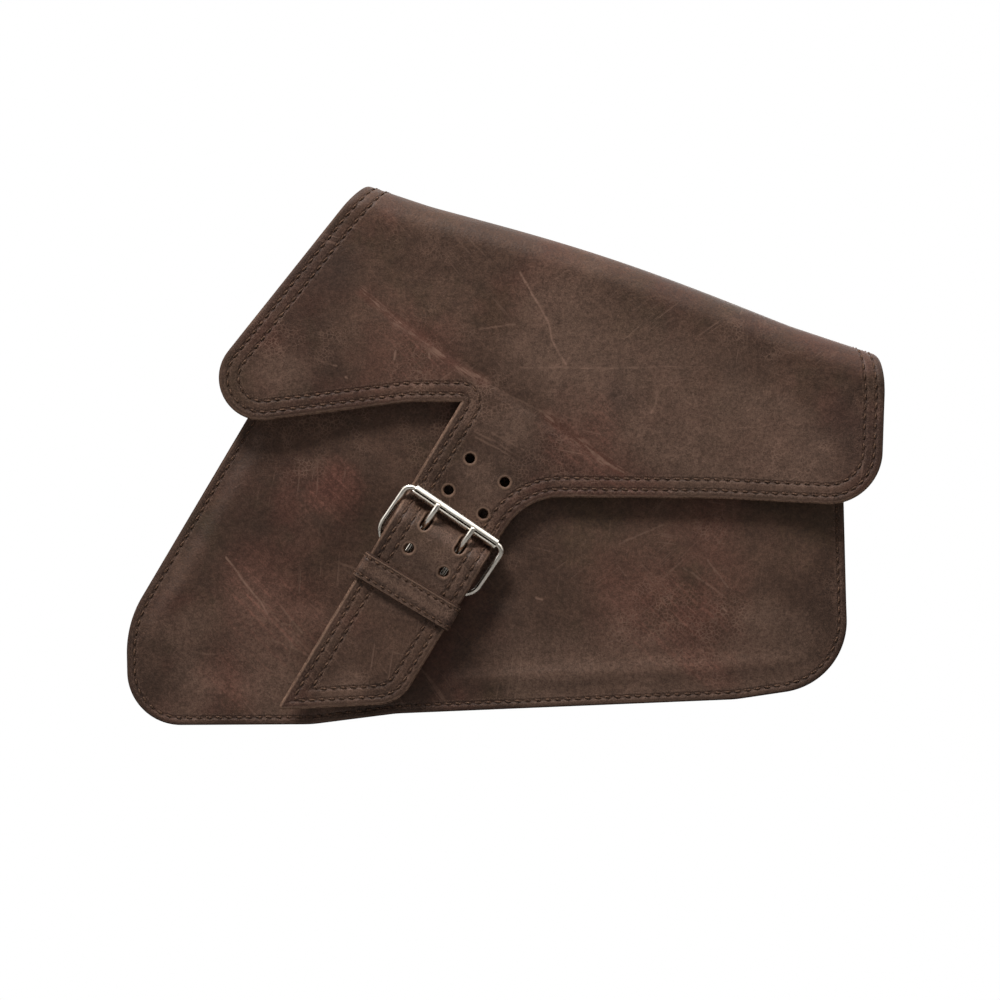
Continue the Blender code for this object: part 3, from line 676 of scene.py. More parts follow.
class Nodes:
    """A node tree being put together."""

    def __init__(self, tree):
        self.tree = tree

    def add(self, kind, **settings):
        made = self.tree.nodes.new(kind)
        for key, value in settings.items():
            setattr(made, key, value)
        return made

    def feed(self, socket, value):
        if isinstance(value, Value):
            self.tree.links.new(value.socket, socket)
        else:
            socket.default_value = value

    def math(self, operation, *values, clamp=False):
        made = self.add("ShaderNodeMath", operation=operation, use_clamp=clamp)
        for socket, value in zip(made.inputs, values):
            self.feed(socket, value)
        return Value(self, made.outputs[0])

    def vector(self, operation, *values):
        made = self.add("ShaderNodeVectorMath", operation=operation)
        second = made.inputs["Scale" if operation == "SCALE" else 1]
        for socket, value in zip((made.inputs[0], second), values):
            self.feed(socket, value)
        if operation in ("DISTANCE", "LENGTH", "DOT_PRODUCT"):
            return Value(self, made.outputs["Value"])
        return Vectors(self, made.outputs[0])


class Finish(Nodes):
    """A material being put together."""

    def __init__(self, name, **values):
        self.material = bpy.data.materials.new(name)
        self.material.use_nodes = True
        super().__init__(self.material.node_tree)
        self.shader = self.tree.nodes["Principled BSDF"]
        self.place = Vectors(self, self.add("ShaderNodeTexCoord").outputs["Object"])
        self.put(**values)

    def texture(self, kind, output, place, inputs, **settings):
        made = self.add(kind, **settings)
        self.feed(made.inputs["Vector"], place or self.place)
        for key, value in inputs.items():
            self.feed(made.inputs[key], value)
        return (Vectors if output == "Color" else Value)(self, made.outputs[output])

    def noise(self, scale, detail=3.0, roughness=0.5, place=None, distortion=0.0, output="Fac"):
        return self.texture("ShaderNodeTexNoise", output, place, {
            "Scale": scale, "Detail": detail, "Roughness": roughness, "Distortion": distortion})

    def cells(self, scale, feature, place):
        return self.texture("ShaderNodeTexVoronoi", "Distance", place, {"Scale": scale}, feature=feature)

    def mix(self, share, first, second):
        made = self.add("ShaderNodeMix", data_type="RGBA", blend_type="MIX")
        for k, value in ((0, share), (6, first), (7, second)):
            self.feed(made.inputs[k], value)
        return Vectors(self, made.outputs[2])

    def bump(self, height, distance, strength, under=None):
        made = self.add("ShaderNodeBump")
        self.feed(made.inputs["Height"], height)
        self.feed(made.inputs["Distance"], distance)
        self.feed(made.inputs["Strength"], strength)
        if under is not None:
            self.feed(made.inputs["Normal"], under)
        return Vectors(self, made.outputs["Normal"])

    def put(self, **values):
        for key, value in values.items():
            self.feed(self.shader.inputs[key.replace("_", " ")], value)


def wander(f, scale, detail, reach):
    """A small shift to one side or the other, that differs from place to place."""
    return (f.noise(scale, detail, output="Color") - (0.5, 0.5, 0.5)) * reach


def strokes(f, lines, width, shift):
    """How strongly a place lies on one of some scratch lines. Lines hold (x, z) points in millimetres."""
    place = (f.place + wander(f, 90.0, 2.0, shift * MM)) * (1.0, 0.0, 1.0)
    found = None
    for (x0, z0), (x1, z1) in [ends for line in lines for ends in zip(line, line[1:])]:
        start = Vector((x0, 0.0, z0)) * MM
        run = Vector((x1, 0.0, z1)) * MM - start
        offset = place - start
        share = f.math("DIVIDE", f.vector("DOT_PRODUCT", offset, run), run.length_squared, clamp=True)
        gap = f.vector("DISTANCE", offset, f.vector("SCALE", run, share))
        found = gap if found is None else f.math("MINIMUM", found, gap)
    return found.ramp(0.0, width * MM, 1.0, 0.0)


def blobs(f, spots):
    """Soft patches (x, z, radius) in millimetres, added together."""
    total = None
    flat = f.place * (1.0, 0.0, 1.0) + wander(f, 22.0, 3.0, 0.045)
    for x, z, radius in spots:
        gap = f.vector("DISTANCE", flat, (x * MM, 0.0, z * MM))
        share = gap.ramp(radius * MM * 0.15, radius * MM, 1.0, 0.0)
        total = share if total is None else f.math("ADD", total, share, clamp=True)
    return total


def streaks(f, place, angle, fine, stretch, low, high):
    """Thin marks that all run one way."""
    spun = f.add("ShaderNodeVectorRotate", rotation_type="Y_AXIS")
    f.feed(spun.inputs["Vector"], place)
    f.feed(spun.inputs["Angle"], math.radians(angle))
    drawn = Vectors(f, spun.outputs["Vector"]) * (1.0 / stretch, 0.3, 1.0)
    return f.noise(fine, 2.0, 0.5, drawn, 0.15).ramp(low, high)


def leather(name, seed, scratches=(), faint=(), creases=(), light=(), red=(), heat=1.0, dark=(),
            burnished=(), rows=()):
    """Waxed, distressed brown leather: cloudy colour, fine grain, scuffs and rubbed lines."""
    f = Finish(name, Specular_IOR_Level=0.24)
    moved = f.place + (seed, seed * 0.7, seed * 1.3)
    cloud = f.noise(11.0, 5.0, 0.58, moved)
    tone = f.mix(cloud.ramp(0.36, 0.64), colour(71, 52, 42), colour(93, 69, 56))
    warm = f.noise(15.0, 5.0, 0.6, moved + (3.1, 0.0, 1.7)).ramp(0.46, 0.68) * 0.34
    if red:
        scuffed = blobs(f, red) * heat
        warm = warm.most(scuffed * 0.66)
    tone = tone.toward(warm, colour(102, 61, 51))
    olive = f.noise(26.0, 4.0, 0.6, moved + (7.0, 2.0, 5.0)).ramp(0.52, 0.68)
    tone = tone.toward(olive * 0.5, colour(68, 54, 39))
    if light:
        tone = tone.toward(blobs(f, light) * 0.6, colour(116, 91, 77))
    if dark:
        tone = tone.toward(blobs(f, dark) * 0.5, colour(52, 40, 34))
    mottle = f.noise(85.0, 6.0, 0.7, moved)
    grain = f.noise(520.0, 4.0, 0.75, moved)
    speck = f.noise(1500.0, 2.0, 0.7, moved)
    shade = mottle.ramp(0.3, 0.7, 0.84, 1.14) * grain.ramp(0.3, 0.7, 0.72, 1.32)
    tone = tone * (shade * speck.ramp(0.3, 0.7, 0.79, 1.22))

    # Scuffs: short streaks in four directions, a net of fine wrinkles, and hatching on the red patches
    bent = moved + f.noise(9.0, 2.0, 0.4, moved, output="Color") * 0.012
    rubbed = None
    for k, angle in enumerate((38.0, -52.0, 82.0, -14.0)):
        place = bent + (k * 1.7, 0.0, k * 2.3)
        gate = f.noise(19.0, 4.0, 0.6, place + (4.0, 1.0, 7.0)).ramp(0.53, 0.7)
        marks = streaks(f, place, angle, 620.0, 18.0, 0.6, 0.72) * gate
        rubbed = rubbed.most(marks) if rubbed else marks
    net = f.cells(430.0, "DISTANCE_TO_EDGE", moved + bent * 0.2).ramp(0.02, 0.16, 1.0, 0.0)
    gate = f.noise(14.0, 4.0, 0.6, moved + (9.0, 3.0, 1.0)).ramp(0.47, 0.62)
    rubbed = (rubbed * 0.3).most(net * gate * mottle.ramp(0.4, 0.6, 0.1, 0.42))
    raised = rubbed                                      # without the strokes, which are too many to bump
    if red:
        worn = (net * 0.35).most(streaks(f, bent, -44.0, 760.0, 70.0, 0.5, 0.66))
        tone = tone.toward(worn * scuffed * grain.ramp(0.45, 0.6, 0.15, 0.6), colour(156, 104, 88))
    patchy = f.noise(170.0, 5.0, 0.75, moved).ramp(0.36, 0.6)
    for lines, wide, least, strength in ((scratches, 1.6, 0.4, 0.62), (faint, 2.0, 0.2, 0.3)):
        if lines:
            worn = strokes(f, lines, 0.9, wide) * f.math("ADD", patchy, least, clamp=True)
            rubbed = rubbed.most(worn * strength)
    if creases:
        pulled = strokes(f, creases, 4.6, 5.0)
        worn = pulled * streaks(f, bent, -36.0, 900.0, 9.0, 0.47, 0.6)
        rubbed = rubbed.most(worn * f.math("ADD", patchy, 0.25, clamp=True) * 0.55)
        tone = tone.toward(pulled * 0.4, colour(104, 64, 52))
    tone = tone.toward(rubbed, colour(158, 124, 106))

    # Near the edge: darker leather, painted shade along the groove of each stitch row with painted highlight
    # on its raised sides, and a bare rim
    reach = Value(f, f.add("ShaderNodeAttribute", attribute_name="rim").outputs["Fac"])
    ragged = reach + f.noise(60.0, 4.0) * -3.0
    tone = tone.toward(ragged.ramp(-1.5, 4.0, 0.35, 0.0), colour(46, 34, 28))
    for row in rows:
        gap = abs(reach - row)
        groove_painted_shade = gap.ramp(0.3, 1.3, 0.4, 0.0) * grain.ramp(0.35, 0.6, 1.0, 0.35)
        tone = tone.toward(groove_painted_shade, colour(34, 25, 21))
        groove_painted_highlight = abs(gap - 1.35).ramp(0.1, 0.9, 0.4, 0.0) * speck.ramp(0.48, 0.62)
        tone = tone.toward(groove_painted_highlight, colour(136, 108, 92))
    bare = (reach + (grain - 0.5) * 2.2).ramp(0.7, 1.7, 0.62, 0.0)
    if burnished:
        bare = bare * f.math("SUBTRACT", 1.0, blobs(f, burnished))
    tone = tone.toward(bare, colour(150, 119, 99))

    pebble = f.cells(760.0, "SMOOTH_F1", moved + bent * 0.4)
    normal = f.bump(f.noise(46.0, 5.0, 0.62, moved, 0.6), 0.0012, 0.55)
    normal = f.bump(pebble, 0.00018, 0.6, normal)
    normal = f.bump(f.noise(1700.0, 2.0, 0.6), 0.00012, 0.5, normal)
    normal = f.bump(raised * -1.0, 0.00022, 0.6, normal)
    rough = cloud.ramp(0.35, 0.7, 0.5, 0.62) + grain.ramp(0.3, 0.7, -0.05, 0.07)
    f.put(Base_Color=tone, Roughness=rough, Normal=normal)
    return f.material


def raw_edge(name, pale, dark, burnished=()):
    """Cut edge of leather: pale fibres, burnished dark in places."""
    f = Finish(name, Specular_IOR_Level=0.2, Roughness=0.82)
    fibre = f.noise(650.0, 5.0, 0.75)
    wear = f.noise(55.0, 4.0, 0.6).ramp(0.42, 0.66, 0.0, 0.5)
    tone = f.mix(fibre.ramp(0.3, 0.72), dark, pale).toward(wear, dark)
    if burnished:
        tone = tone.toward(blobs(f, burnished) * 0.85, dark)
    f.put(Base_Color=tone, Normal=f.bump(fibre, 0.00035, 0.8))
    return f.material


def suede(name, tint):
    """Flesh side of leather: matt, with a loose nap."""
    f = Finish(name, Specular_IOR_Level=0.15, Sheen_Weight=0.25, Sheen_Roughness=0.6, Roughness=0.92)
    nap = f.noise(900.0, 4.0, 0.8)
    dark = tuple(c * 0.62 for c in tint[:3]) + (1.0,)
    tone = f.mix(f.noise(20.0, 5.0, 0.6).ramp(0.3, 0.7), dark, tint) * nap.ramp(0.3, 0.7, 0.7, 1.25)
    f.put(Base_Color=tone, Normal=f.bump(nap, 0.0003, 0.8))
    return f.material


def thread(name):
    f = Finish(name, Specular_IOR_Level=0.2, Roughness=0.7)
    twist = f.noise(1300.0, 3.0, 0.7)
    f.put(Base_Color=f.mix(twist.ramp(0.35, 0.65), colour(46, 33, 26), colour(124, 94, 75)),
          Normal=f.bump(twist, 0.0002, 0.7))
    return f.material


def painted_shade_finish(name):
    # Near-black painted shade, for the inside of each stitch hole and the floor of the roller's seam.
    f = Finish(name, Specular_IOR_Level=0.1, Roughness=0.9)
    f.put(Base_Color=f.mix(f.noise(500.0), colour(12, 8, 7), colour(24, 17, 14)))
    return f.material


def nickel(name):
    """Nickel plate, polished and lightly worn."""
    f = Finish(name, Metallic=1.0)
    dull = f.noise(120.0, 5.0, 0.65)
    hair = f.noise(900.0, 3.0, 0.6, f.place * (1.0, 1.0, 0.15))
    f.put(Base_Color=f.mix(dull.ramp(0.35, 0.7), colour(236, 229, 218), colour(212, 204, 192)),
          Roughness=dull.ramp(0.3, 0.75, 0.16, 0.28) + hair.ramp(0.4, 0.7, 0.0, 0.06),
          Normal=f.bump(hair, 0.00004, 0.35))
    return f.material


def board(name):
    f = Finish(name, Roughness=0.7)
    weave = f.noise(500.0, 3.0, 0.6)
    f.put(Base_Color=f.mix(weave, colour(34, 33, 32), colour(62, 60, 58)), Normal=f.bump(weave, 0.0003, 0.6))
    return f.material


def floor_finish(name):
    """Pale floor that fades to the white of the background away from the bag."""
    f = Finish(name, Specular_IOR_Level=0.0, Roughness=0.9)
    f.put(Base_Color=f.mix(f.noise(3.0), colour(178, 177, 176), colour(188, 187, 186)))
    reach = f.vector("LENGTH", f.place * (1.0, 1.0, 0.0))
    share = reach.ramp(0.2, 1.5, 0.55, 1.0) * Value(f, f.add("ShaderNodeLightPath").outputs["Is Camera Ray"])
    white = f.add("ShaderNodeEmission")
    f.feed(white.inputs["Color"], (1.0, 1.0, 1.0, 1.0))
    blend = f.add("ShaderNodeMixShader")
    f.feed(blend.inputs[0], share)
    f.tree.links.new(f.shader.outputs[0], blend.inputs[1])
    f.tree.links.new(white.outputs[0], blend.inputs[2])
    f.tree.links.new(blend.outputs[0], f.tree.nodes["Material Output"].inputs["Surface"])
    return f.material


# Marks on the front, as the photograph shows them: lines of (x, z), and patches of (x, z, radius)
FLAP_SCRATCHES = (
    ((10.0, 113.8), (15.0, 105.0), (20.0, 96.3), (24.5, 88.0), (26.3, 80.0), (30.0, 72.0), (33.0, 67.5)),
    ((-52.3, 74.6), (-52.9, 70.6)),
    ((-35.3, 73.2), (-34.9, 70.6)),
    ((-83.0, 67.6), (-81.5, 67.0)),
    ((-77.2, 61.2), (-76.6, 60.9)),
    ((75.4, 43.6), (75.8, 44.6)),
)
FLAP_FAINT = (
    ((10.0, 66.3), (48.0, 66.0), (95.0, 66.6)),
    ((-93.0, 70.5), (-81.5, 67.0)),
    ((78.5, 54.0), (78.0, 49.0), (75.4, 43.6)),
    ((-10.0, 85.5), (7.5, 88.0)),
    ((92.0, 50.5), (95.0, 48.0)),
    ((-15.0, 35.0), (-3.0, 29.5), (10.0, 21.5)),
    ((-12.0, 31.5), (5.0, 22.5)),
    ((-4.0, 33.5), (12.0, 25.0)),
    ((-4.0, 56.0), (11.0, 49.0), (24.0, 42.0)),
    ((100.0, 42.0), (96.0, 55.0)),
)
FLAP_CREASES = (
    ((-69.0, 103.0), (-42.5, 84.0), (-26.5, 70.0), (-7.5, 59.0)),
    ((24.0, 41.5), (40.0, 29.0), (61.0, 13.0)),
)
BODY_SCRATCHES = (
    ((-137.0, -29.0), (-120.0, -51.3), (-115.0, -60.0)),
    ((111.5, -54.0), (113.0, -55.5)),
    ((18.0, -49.0), (21.0, -50.0)),
)
BODY_FAINT = (
    ((-115.0, -60.0), (-106.0, -66.5), (-95.0, -76.0)),
    ((-112.0, -63.5), (-101.0, -68.0)),
    ((-110.0, -65.0), (-103.0, -75.0)),
    ((-153.8, -76.3), (-147.0, -77.2), (-138.8, -76.9)),
    ((-124.0, -50.0), (-108.0, -67.0)),
    ((-119.0, -51.0), (-101.0, -73.0)),
    ((-126.0, -59.0), (-104.0, -63.0)),
    ((-110.0, -53.0), (-99.0, -67.0)),
    ((-114.0, -70.0), (-96.0, -78.0)),
    ((60.0, -22.0), (82.0, -12.0)),
    ((92.0, -34.0), (112.0, -48.0)),
    ((104.0, -30.0), (114.0, -44.0)),
)

BURNISHED = ((-100, 112, 60), (-140, 68, 34), (190, 50, 60), (-60, 160, 40))
GRAIN_FLAP = leather(
    "leather_flap", 1.3, FLAP_SCRATCHES, FLAP_FAINT, FLAP_CREASES,
    light=((30, 88, 40), (110, 30, 60), (60, 60, 50), (-38, -38, 34), (-75, -90, 20), (4, 38, 24),
           (-105, 62, 24), (150, 14, 26), (118, 36, 40), (-38, -38, 30), (-12, 4, 26)),
    red=((-40, 74, 30), (45, 30, 34), (70, 4, 24)), heat=0.5,
    dark=((176, 40, 38), (-95, 122, 40), (58, 52, 18)), burnished=BURNISHED, rows=FLAP_ROWS)
GRAIN_BODY = leather(
    "leather_body", 4.9, BODY_SCRATCHES, BODY_FAINT,
    # The pale patches along the bottom, from z -78 down to -100, are partly the leather's own lighter tone
    # and partly painted highlight on the lit upper side of the ridge above the seam.
    light=((15, -92, 26), (138, -78, 30), (-150, -98, 24), (-115, -100, 26), (-80, -98, 20),
           (75, -86, 48), (25, -80, 36), (155, -70, 22), (-160, -70, 24), (-116, -66, 42), (128, -84, 34)),
    red=((-115, -55, 42), (-85, 2, 22), (85, -58, 45), (105, -84, 16), (-135, -96, 24)), heat=0.85,
    dark=((-60, -70, 26),), burnished=((-150, -60, 150), (150, -60, 150), (0, -110, 90), (0, 60, 150)),
    rows=BODY_ROWS)
GRAIN = leather("leather_plain", 7.7)
EDGE_PALE = raw_edge("leather_edge_pale", colour(150, 117, 97), colour(84, 62, 50))
EDGE_FLAP = raw_edge("leather_edge_flap", colour(164, 130, 108), colour(76, 56, 46), BURNISHED)
EDGE_DARK = raw_edge("leather_edge_dark", colour(96, 70, 57), colour(46, 34, 28))
FLESH = suede("leather_flesh", colour(118, 92, 74))
LINING = suede("lining_suede", colour(112, 90, 72))
THREAD_FINISH = thread("thread_brown")
PAINTED_SHADE = painted_shade_finish("hole_painted_shade")
NICKEL = nickel("nickel_plate")
BOARD = board("stiffener_board")
CUT_LEATHER = [GRAIN, EDGE_DARK, FLESH]


# ---------------------------------------------------------------- bag body


def rectangle(low, high, radius):
    """Corners of a rectangle, rounded alike."""
    return [(low[0], low[1], radius), (high[0], low[1], radius),
            (high[0], high[1], radius), (low[0], high[1], radius)]


def closest(loop, spot):
    """Which point of a loop is closest to a spot."""
    return int(np.argmin(np.hypot(*(loop - np.array(spot)).T)))


def straight(start, end, level, count):
    """A straight row in a flat pattern."""
    return np.stack((np.linspace(start, end, count), np.full(count, level)), axis=1)


def body_corners(top, drop=0.0):
    """Corners of a panel whose upper edge is at a level."""
    base = np.array(BODY_BOTTOM[0][:2])
    rise = np.array((math.cos(LEFT_LEAN), math.sin(LEFT_LEAN)))
    left = base + rise * (top - to_slope(*base)[1]) / to_slope(*rise)[1]
    right_z = (top - RIGHT_X * math.sin(TOP_SLOPE)) / math.cos(TOP_SLOPE)
    lower = [(x, z - drop * (abs(x) < 130.0), radius) for x, z, radius in BODY_BOTTOM]
    return [(*left, 2.0), *lower, (RIGHT_X - 2.0, right_z, 2.0)]


def ripple(x, z, scale):
    """Slow unevenness of soft leather, about one unit high."""
    wave = np.sin(x / scale + 0.7 * np.sin(z / scale * 0.8)) * np.cos(z / scale * 1.1 + 0.4)
    return wave + 0.5 * np.sin(x / scale * 2.1 + z / scale * 1.7 + 1.0)


def held_flat(x, z):
    """1 where the stud, buckle and keeper lie against the front panel, and 0 well away from them."""
    a, b = BUCKLE.find(x, z)
    hardware = smooth(-30.0, -8.0, a) * smooth(62.0, 42.0, a) * smooth(54.0, 31.0, np.abs(b))
    a, b = STRAP.find(x, z)
    return np.maximum(hardware, smooth(24.0, 9.0, np.hypot(a - SNAP_AT, b)))


def front_sag(uv):
    """Crown of the front panel: held flat at its seam and under the strap's hardware."""
    depth = nearest(uv, Outline(body_corners(BODY_TOP), 4.0).ring(0.0))
    x, z = uv.T
    _, h = to_slope(x, z)
    full = CROWN - 2.5 * smooth(-52.0, -88.0, z)
    crown = full * smooth(5.0, 15.0, depth) * smooth(BODY_TOP, BODY_TOP - 40.0, h)
    crown += 0.35 * ripple(x, z, 21.0) * smooth(8.0, 30.0, depth)
    fold = np.abs(z + 90.0 - 0.05 * x) / 5.0
    crown += 1.3 * np.exp(-fold * fold) * smooth(-60.0, -10.0, x) * smooth(8.0, 16.0, depth)
    return crown * (1.0 - held_flat(x, z))


def panel(word, corners, level, mouth, finishes, **shape):
    """Front or back panel, with its seam as far up as the mouth."""
    outline = Outline(corners)
    sheet = Sheet(outline, lambda x, z: stack(x, level, z), PANEL - 0.2, BODY_ROWS, **shape)
    sheet.cut(word + "_panel", "bag", finishes)
    stitches(word + "_seam_stitches", "bag", sheet, [outline.ring(BODY_ROWS[0])],
             keep=lambda uv: to_slope(*uv.T)[1] < mouth)


def gusset():
    """Band round the sides and bottom, turned out at both edges to be sewn to the panels."""
    thick, flange, bend = 2.4, 7.6, 3.4
    front = FRONT_Y + PANEL + 0.3 + thick / 2.0
    back = BACK_Y - PANEL - 0.3 - thick / 2.0
    wall = back - front - 2.0 * bend
    straight_part, quarter = flange - bend, bend * QUARTER
    reach = 2.0 * straight_part + 2.0 * quarter + wall
    corners = body_corners(BODY_TOP)
    outline = Outline(corners, 4.0)
    loops = [outline.ring(inset) for inset in (0.0, flange)]
    loops = [np.roll(loop, -closest(loops[0], corners[0][:2]) - 2, axis=0) for loop in loops]
    last = closest(loops[0], corners[-1][:2]) - 1
    loops = [loop[:last] for loop in loops]
    along = lengths(loops[0])

    def middle(u, v):
        from_front = np.minimum(v, reach - v)
        turn = np.clip((from_front - straight_part) / bend, 0.0, QUARTER)
        past = np.maximum(from_front - straight_part - quarter, 0.0)
        inset = np.minimum(from_front, straight_part) + bend * np.sin(turn)
        depth = bend * (1.0 - np.cos(turn)) + past
        soft = 1.4 * np.sin(QUARTER * np.clip(past / (wall / 2.0), 0.0, 1.0)) ** 2
        inset = inset - soft + 0.5 * ripple(u, v, 17.0) * smooth(2.0, 14.0, past)
        share = inset / flange
        x, z = [np.interp(u, along, loops[0][:, k]) * (1.0 - share)
                + np.interp(u, along, loops[1][:, k]) * share for k in (0, 1)]
        return stack(x, np.where(v < reach / 2.0, front + depth, back - depth), z)

    corners = rectangle((0.2, 0.3), (along[-1] - 0.2, reach - 0.3), 1.0)
    Sheet(Outline(corners, 2.5), middle, thick).cut("gusset", "bag", [GRAIN, EDGE_PALE, FLESH])


def mount_pad():
    outline = Outline(rectangle(PAD_LOW[::2], PAD_HIGH[::2], 8.0))
    level = (PAD_LOW[1] + PAD_HIGH[1]) / 2.0
    sheet = Sheet(outline, lambda x, z: stack(x, level, z), PAD_HIGH[1] - PAD_LOW[1], (3.5,), cell=5.0,
                  flip=-1.0)
    sheet.cut("mount_pad", "bag", CUT_LEATHER)
    stitches("mount_pad_stitches", "bag", sheet, [outline.ring(3.5)])


# ---------------------------------------------------------------- flap


def flap_lift(x, z, h):
    """How far the flap's middle stands off the front panel."""
    along, across = STRAP.find(x, z)
    wave = 0.45 * ripple(x, z, 24.0) * smooth(FOLD_START, FOLD_START - 25.0, h)
    hang = smooth(FOLD_START - 5.0, 40.0, h)
    flare = 5.5 * smooth(-50.0, -150.0, x) * hang + 2.2 * smooth(70.0, 185.0, x) * hang
    crease = np.abs(z - 103.0 + (x + 69.0) * 0.69) / 3.2
    dent = 0.7 * np.exp(-crease * crease) * smooth(-75.0, -40.0, x) * smooth(70.0, 40.0, x)
    flap = FLAP_LIFT + wave + flare - dent * smooth(FOLD_START, FOLD_START - 15.0, h)
    strap = HEEL_LIFT + curve(STRAP_RISE, along - HEEL_AT)
    strap = strap + 0.25 * np.sin(along / 9.0 + across / 14.0) * smooth(100.0, 125.0, along)
    on_strap = (across > -STRAP_HALF - 1.0) & (along > 5.0)
    share = np.where(on_strap, smooth(8.0, HEEL_AT + STRAP_RISE[0][0], along), 0.0)
    return flap * (1.0 - share) + strap * share


def flap_middle(s, p):
    """Middle of the flap: up the front, over the fold, back over the mouth and down the back."""
    level = FRONT_Y - FLAP_LIFT
    bend = np.clip((p - FOLD_START) / FOLD_RADIUS, 0.0, QUARTER)
    roll = np.clip((p - ROLL_START) / ROLL_RADIUS, 0.0, QUARTER)
    top = np.clip(p - FOLD_END, 0.0, ROLL_START - FOLD_END)
    down = np.maximum(p - ROLL_END, 0.0)
    h = np.minimum(p, FOLD_START) + FOLD_RADIUS * np.sin(bend) - ROLL_RADIUS * (1.0 - np.cos(roll)) - down
    x, z = on_slope(s, h)
    front = FRONT_Y - flap_lift(x, z, h)
    over = level + FOLD_RADIUS * (1.0 - np.cos(bend)) + top + ROLL_RADIUS * np.sin(roll)
    y = np.where(p < FOLD_START, front, over)
    arch = FOLD_ARCH * np.sin(np.clip((x + 36.0) / 182.0, 0.0, 1.0) * math.pi) ** 1.1
    z = z + arch * smooth(50.0, FOLD_START, h) * (1.0 - smooth(FOLD_END, ROLL_START, p))
    dip = 0.66 * np.sin(top / (ROLL_START - FOLD_END) * math.pi) * np.sin(s / 31.0 + 1.0)
    return stack(x, y, z - dip)


def flap_corners(lower, levels, left, right):
    """Corners of a layer of the flap: its lower edge, and both sides at some levels."""
    def side(places):
        return [(s, p, 7.0 if p == levels[-1] else 60.0) for s, p in zip(places, levels)]
    return side(left)[::-1] + [(*to_slope(x, z), radius) for x, z, radius in lower] + side(right)


def flap():
    """Flap and strap in one piece of leather, sewn down behind the mouth."""
    corners = flap_corners(FLAP_CORNERS, (FOLD_START, FOLD_END, ROLL_START - 8.0, FLAP_END),
                           (-120.6, -111.5, -105.0, -103.0), (164.6, 155.5, 137.0, 135.0))
    outline = Outline(corners, deepest=12.0)
    sides = (-PRONG_SPACING, PRONG_SPACING)
    holes = [Slot(BUCKLE.flat(a, b), HOLE) for a in HOLE_ROWS for b in sides]
    holes += [Slot(BUCKLE.flat(SLOT_AT, b), HOLE, 2.0, to_slope(*BUCKLE.along[::2])) for b in sides]
    sheet = Sheet(outline, flap_middle, FLAP, FLAP_ROWS, holes, cell=2.4)
    ride(sheet.solid("flap_leather", [GRAIN_FLAP, EDGE_FLAP, FLESH]), "hinge", "leather", "flap_and_strap")
    rows = [outline.ring(row) for row in FLAP_ROWS]
    for name, side in (("flap_stitches", 1.0), ("flap_stitches_under", -1.0)):
        stitches(name, "hinge", sheet, rows, side, keep=lambda uv: uv[:, 1] < ROLL_START - 6.0)
    rows = [straight(-98.0, 131.0, p, 180) for p in (ROLL_END + 6.0, FLAP_END - FLAP_ROWS[0])]
    stitches("flap_anchor_stitches", "bag", sheet, rows, closed=False)


def lining():
    """Suede layer under the flap."""
    sink = (FLAP + LINING_THICK) / 2.0 + 0.15
    corners = flap_corners(LINING_CORNERS, (FOLD_START, FOLD_END, ROLL_START - 3.0),
                           (-112.0, -104.0, -99.0), (158.0, 152.0, 130.0))
    sheet = Sheet(Outline(corners, 2.5),
                  lambda s, p: flap_middle(s, p) - face_directions(flap_middle, s, p) * sink,
                  LINING_THICK, cell=4.0)
    ride(sheet.solid("flap_lining_suede", [LINING, EDGE_DARK, LINING]), "hinge", "lining", "flap_lining")


# ---------------------------------------------------------------- buckles, keepers and chapes


def chape(node, body, seat, lift, bar, half, notches, notch):
    """Leather folded round a buckle's heel bar, with a notch for each prong."""
    thick, length = 2.0, 36.0
    radius = bar + 0.3 + thick / 2.0
    over = -radius + thick + 0.3
    turn = np.linspace(QUARTER, math.pi * 1.5, 14)
    ends = np.array((2.0, 4.0, 6.0, 9.0, length))
    knots = ((0.0, radius), (2.0, radius - 0.3), (9.0, over), (length, over))
    path = np.array([(length, -radius), (10.0, -radius), (4.0, -radius),
                     *zip(radius * np.cos(turn), -radius * np.sin(turn)), *zip(ends, curve(knots, ends))])
    reach = lengths(path)

    def middle(u, v):
        a, w = [np.interp(u, reach, path[:, k]) for k in (0, 1)]
        return seat.at(a, v, lift + w)

    holes = [Slot((reach[np.argmin(path[:, 0])], b), notch, 5.2, steps=28) for b in notches]
    outline = Outline(rectangle((0.3, -half), (reach[-1] - 0.3, half), 1.5), 1.3)
    Sheet(outline, middle, thick - 0.1, holes=holes, cell=2.0).cut(node, body, CUT_LEATHER)


def keeper(node, body, seat, centre, half, span, low, top, thick=1.7):
    """A loop of leather whose front follows the strap inside it."""
    high = 12.0
    loop = Outline(rectangle((-span, 0.0), (span, high), 2.6), 0.8).ring(0.0)
    loop = np.roll(loop, -closest(loop, (0.0, 0.0)), axis=0)
    reach = lengths(loop)

    def middle(u, v):
        b, w = [np.interp(u, reach, loop[:, k]) for k in (0, 1)]
        stretch = (top(centre + v) - low) / high
        bulge = 0.35 * np.cos(np.clip(b / span, -1.0, 1.0) * QUARTER) * smooth(high / 2.0, high, w)
        return seat.at(centre + v, b, low + w * stretch + bulge)

    end = reach[-1] - 0.3
    rows = (2.4,) if half > 6.0 else ()
    sheet = Sheet(Outline(rectangle((0.3, -half), (end, half), 0.8), 1.2), middle, thick, rows, cell=1.6)
    sheet.cut(node, body, [GRAIN_FLAP, EDGE_DARK, FLESH])
    if rows:
        lines = [straight(2.0, end - 2.0, side * (half - rows[0]), 160) for side in (-1, 1)]
        stitches(node + "_stitches", body, sheet, lines, closed=False, pitch=4.2)


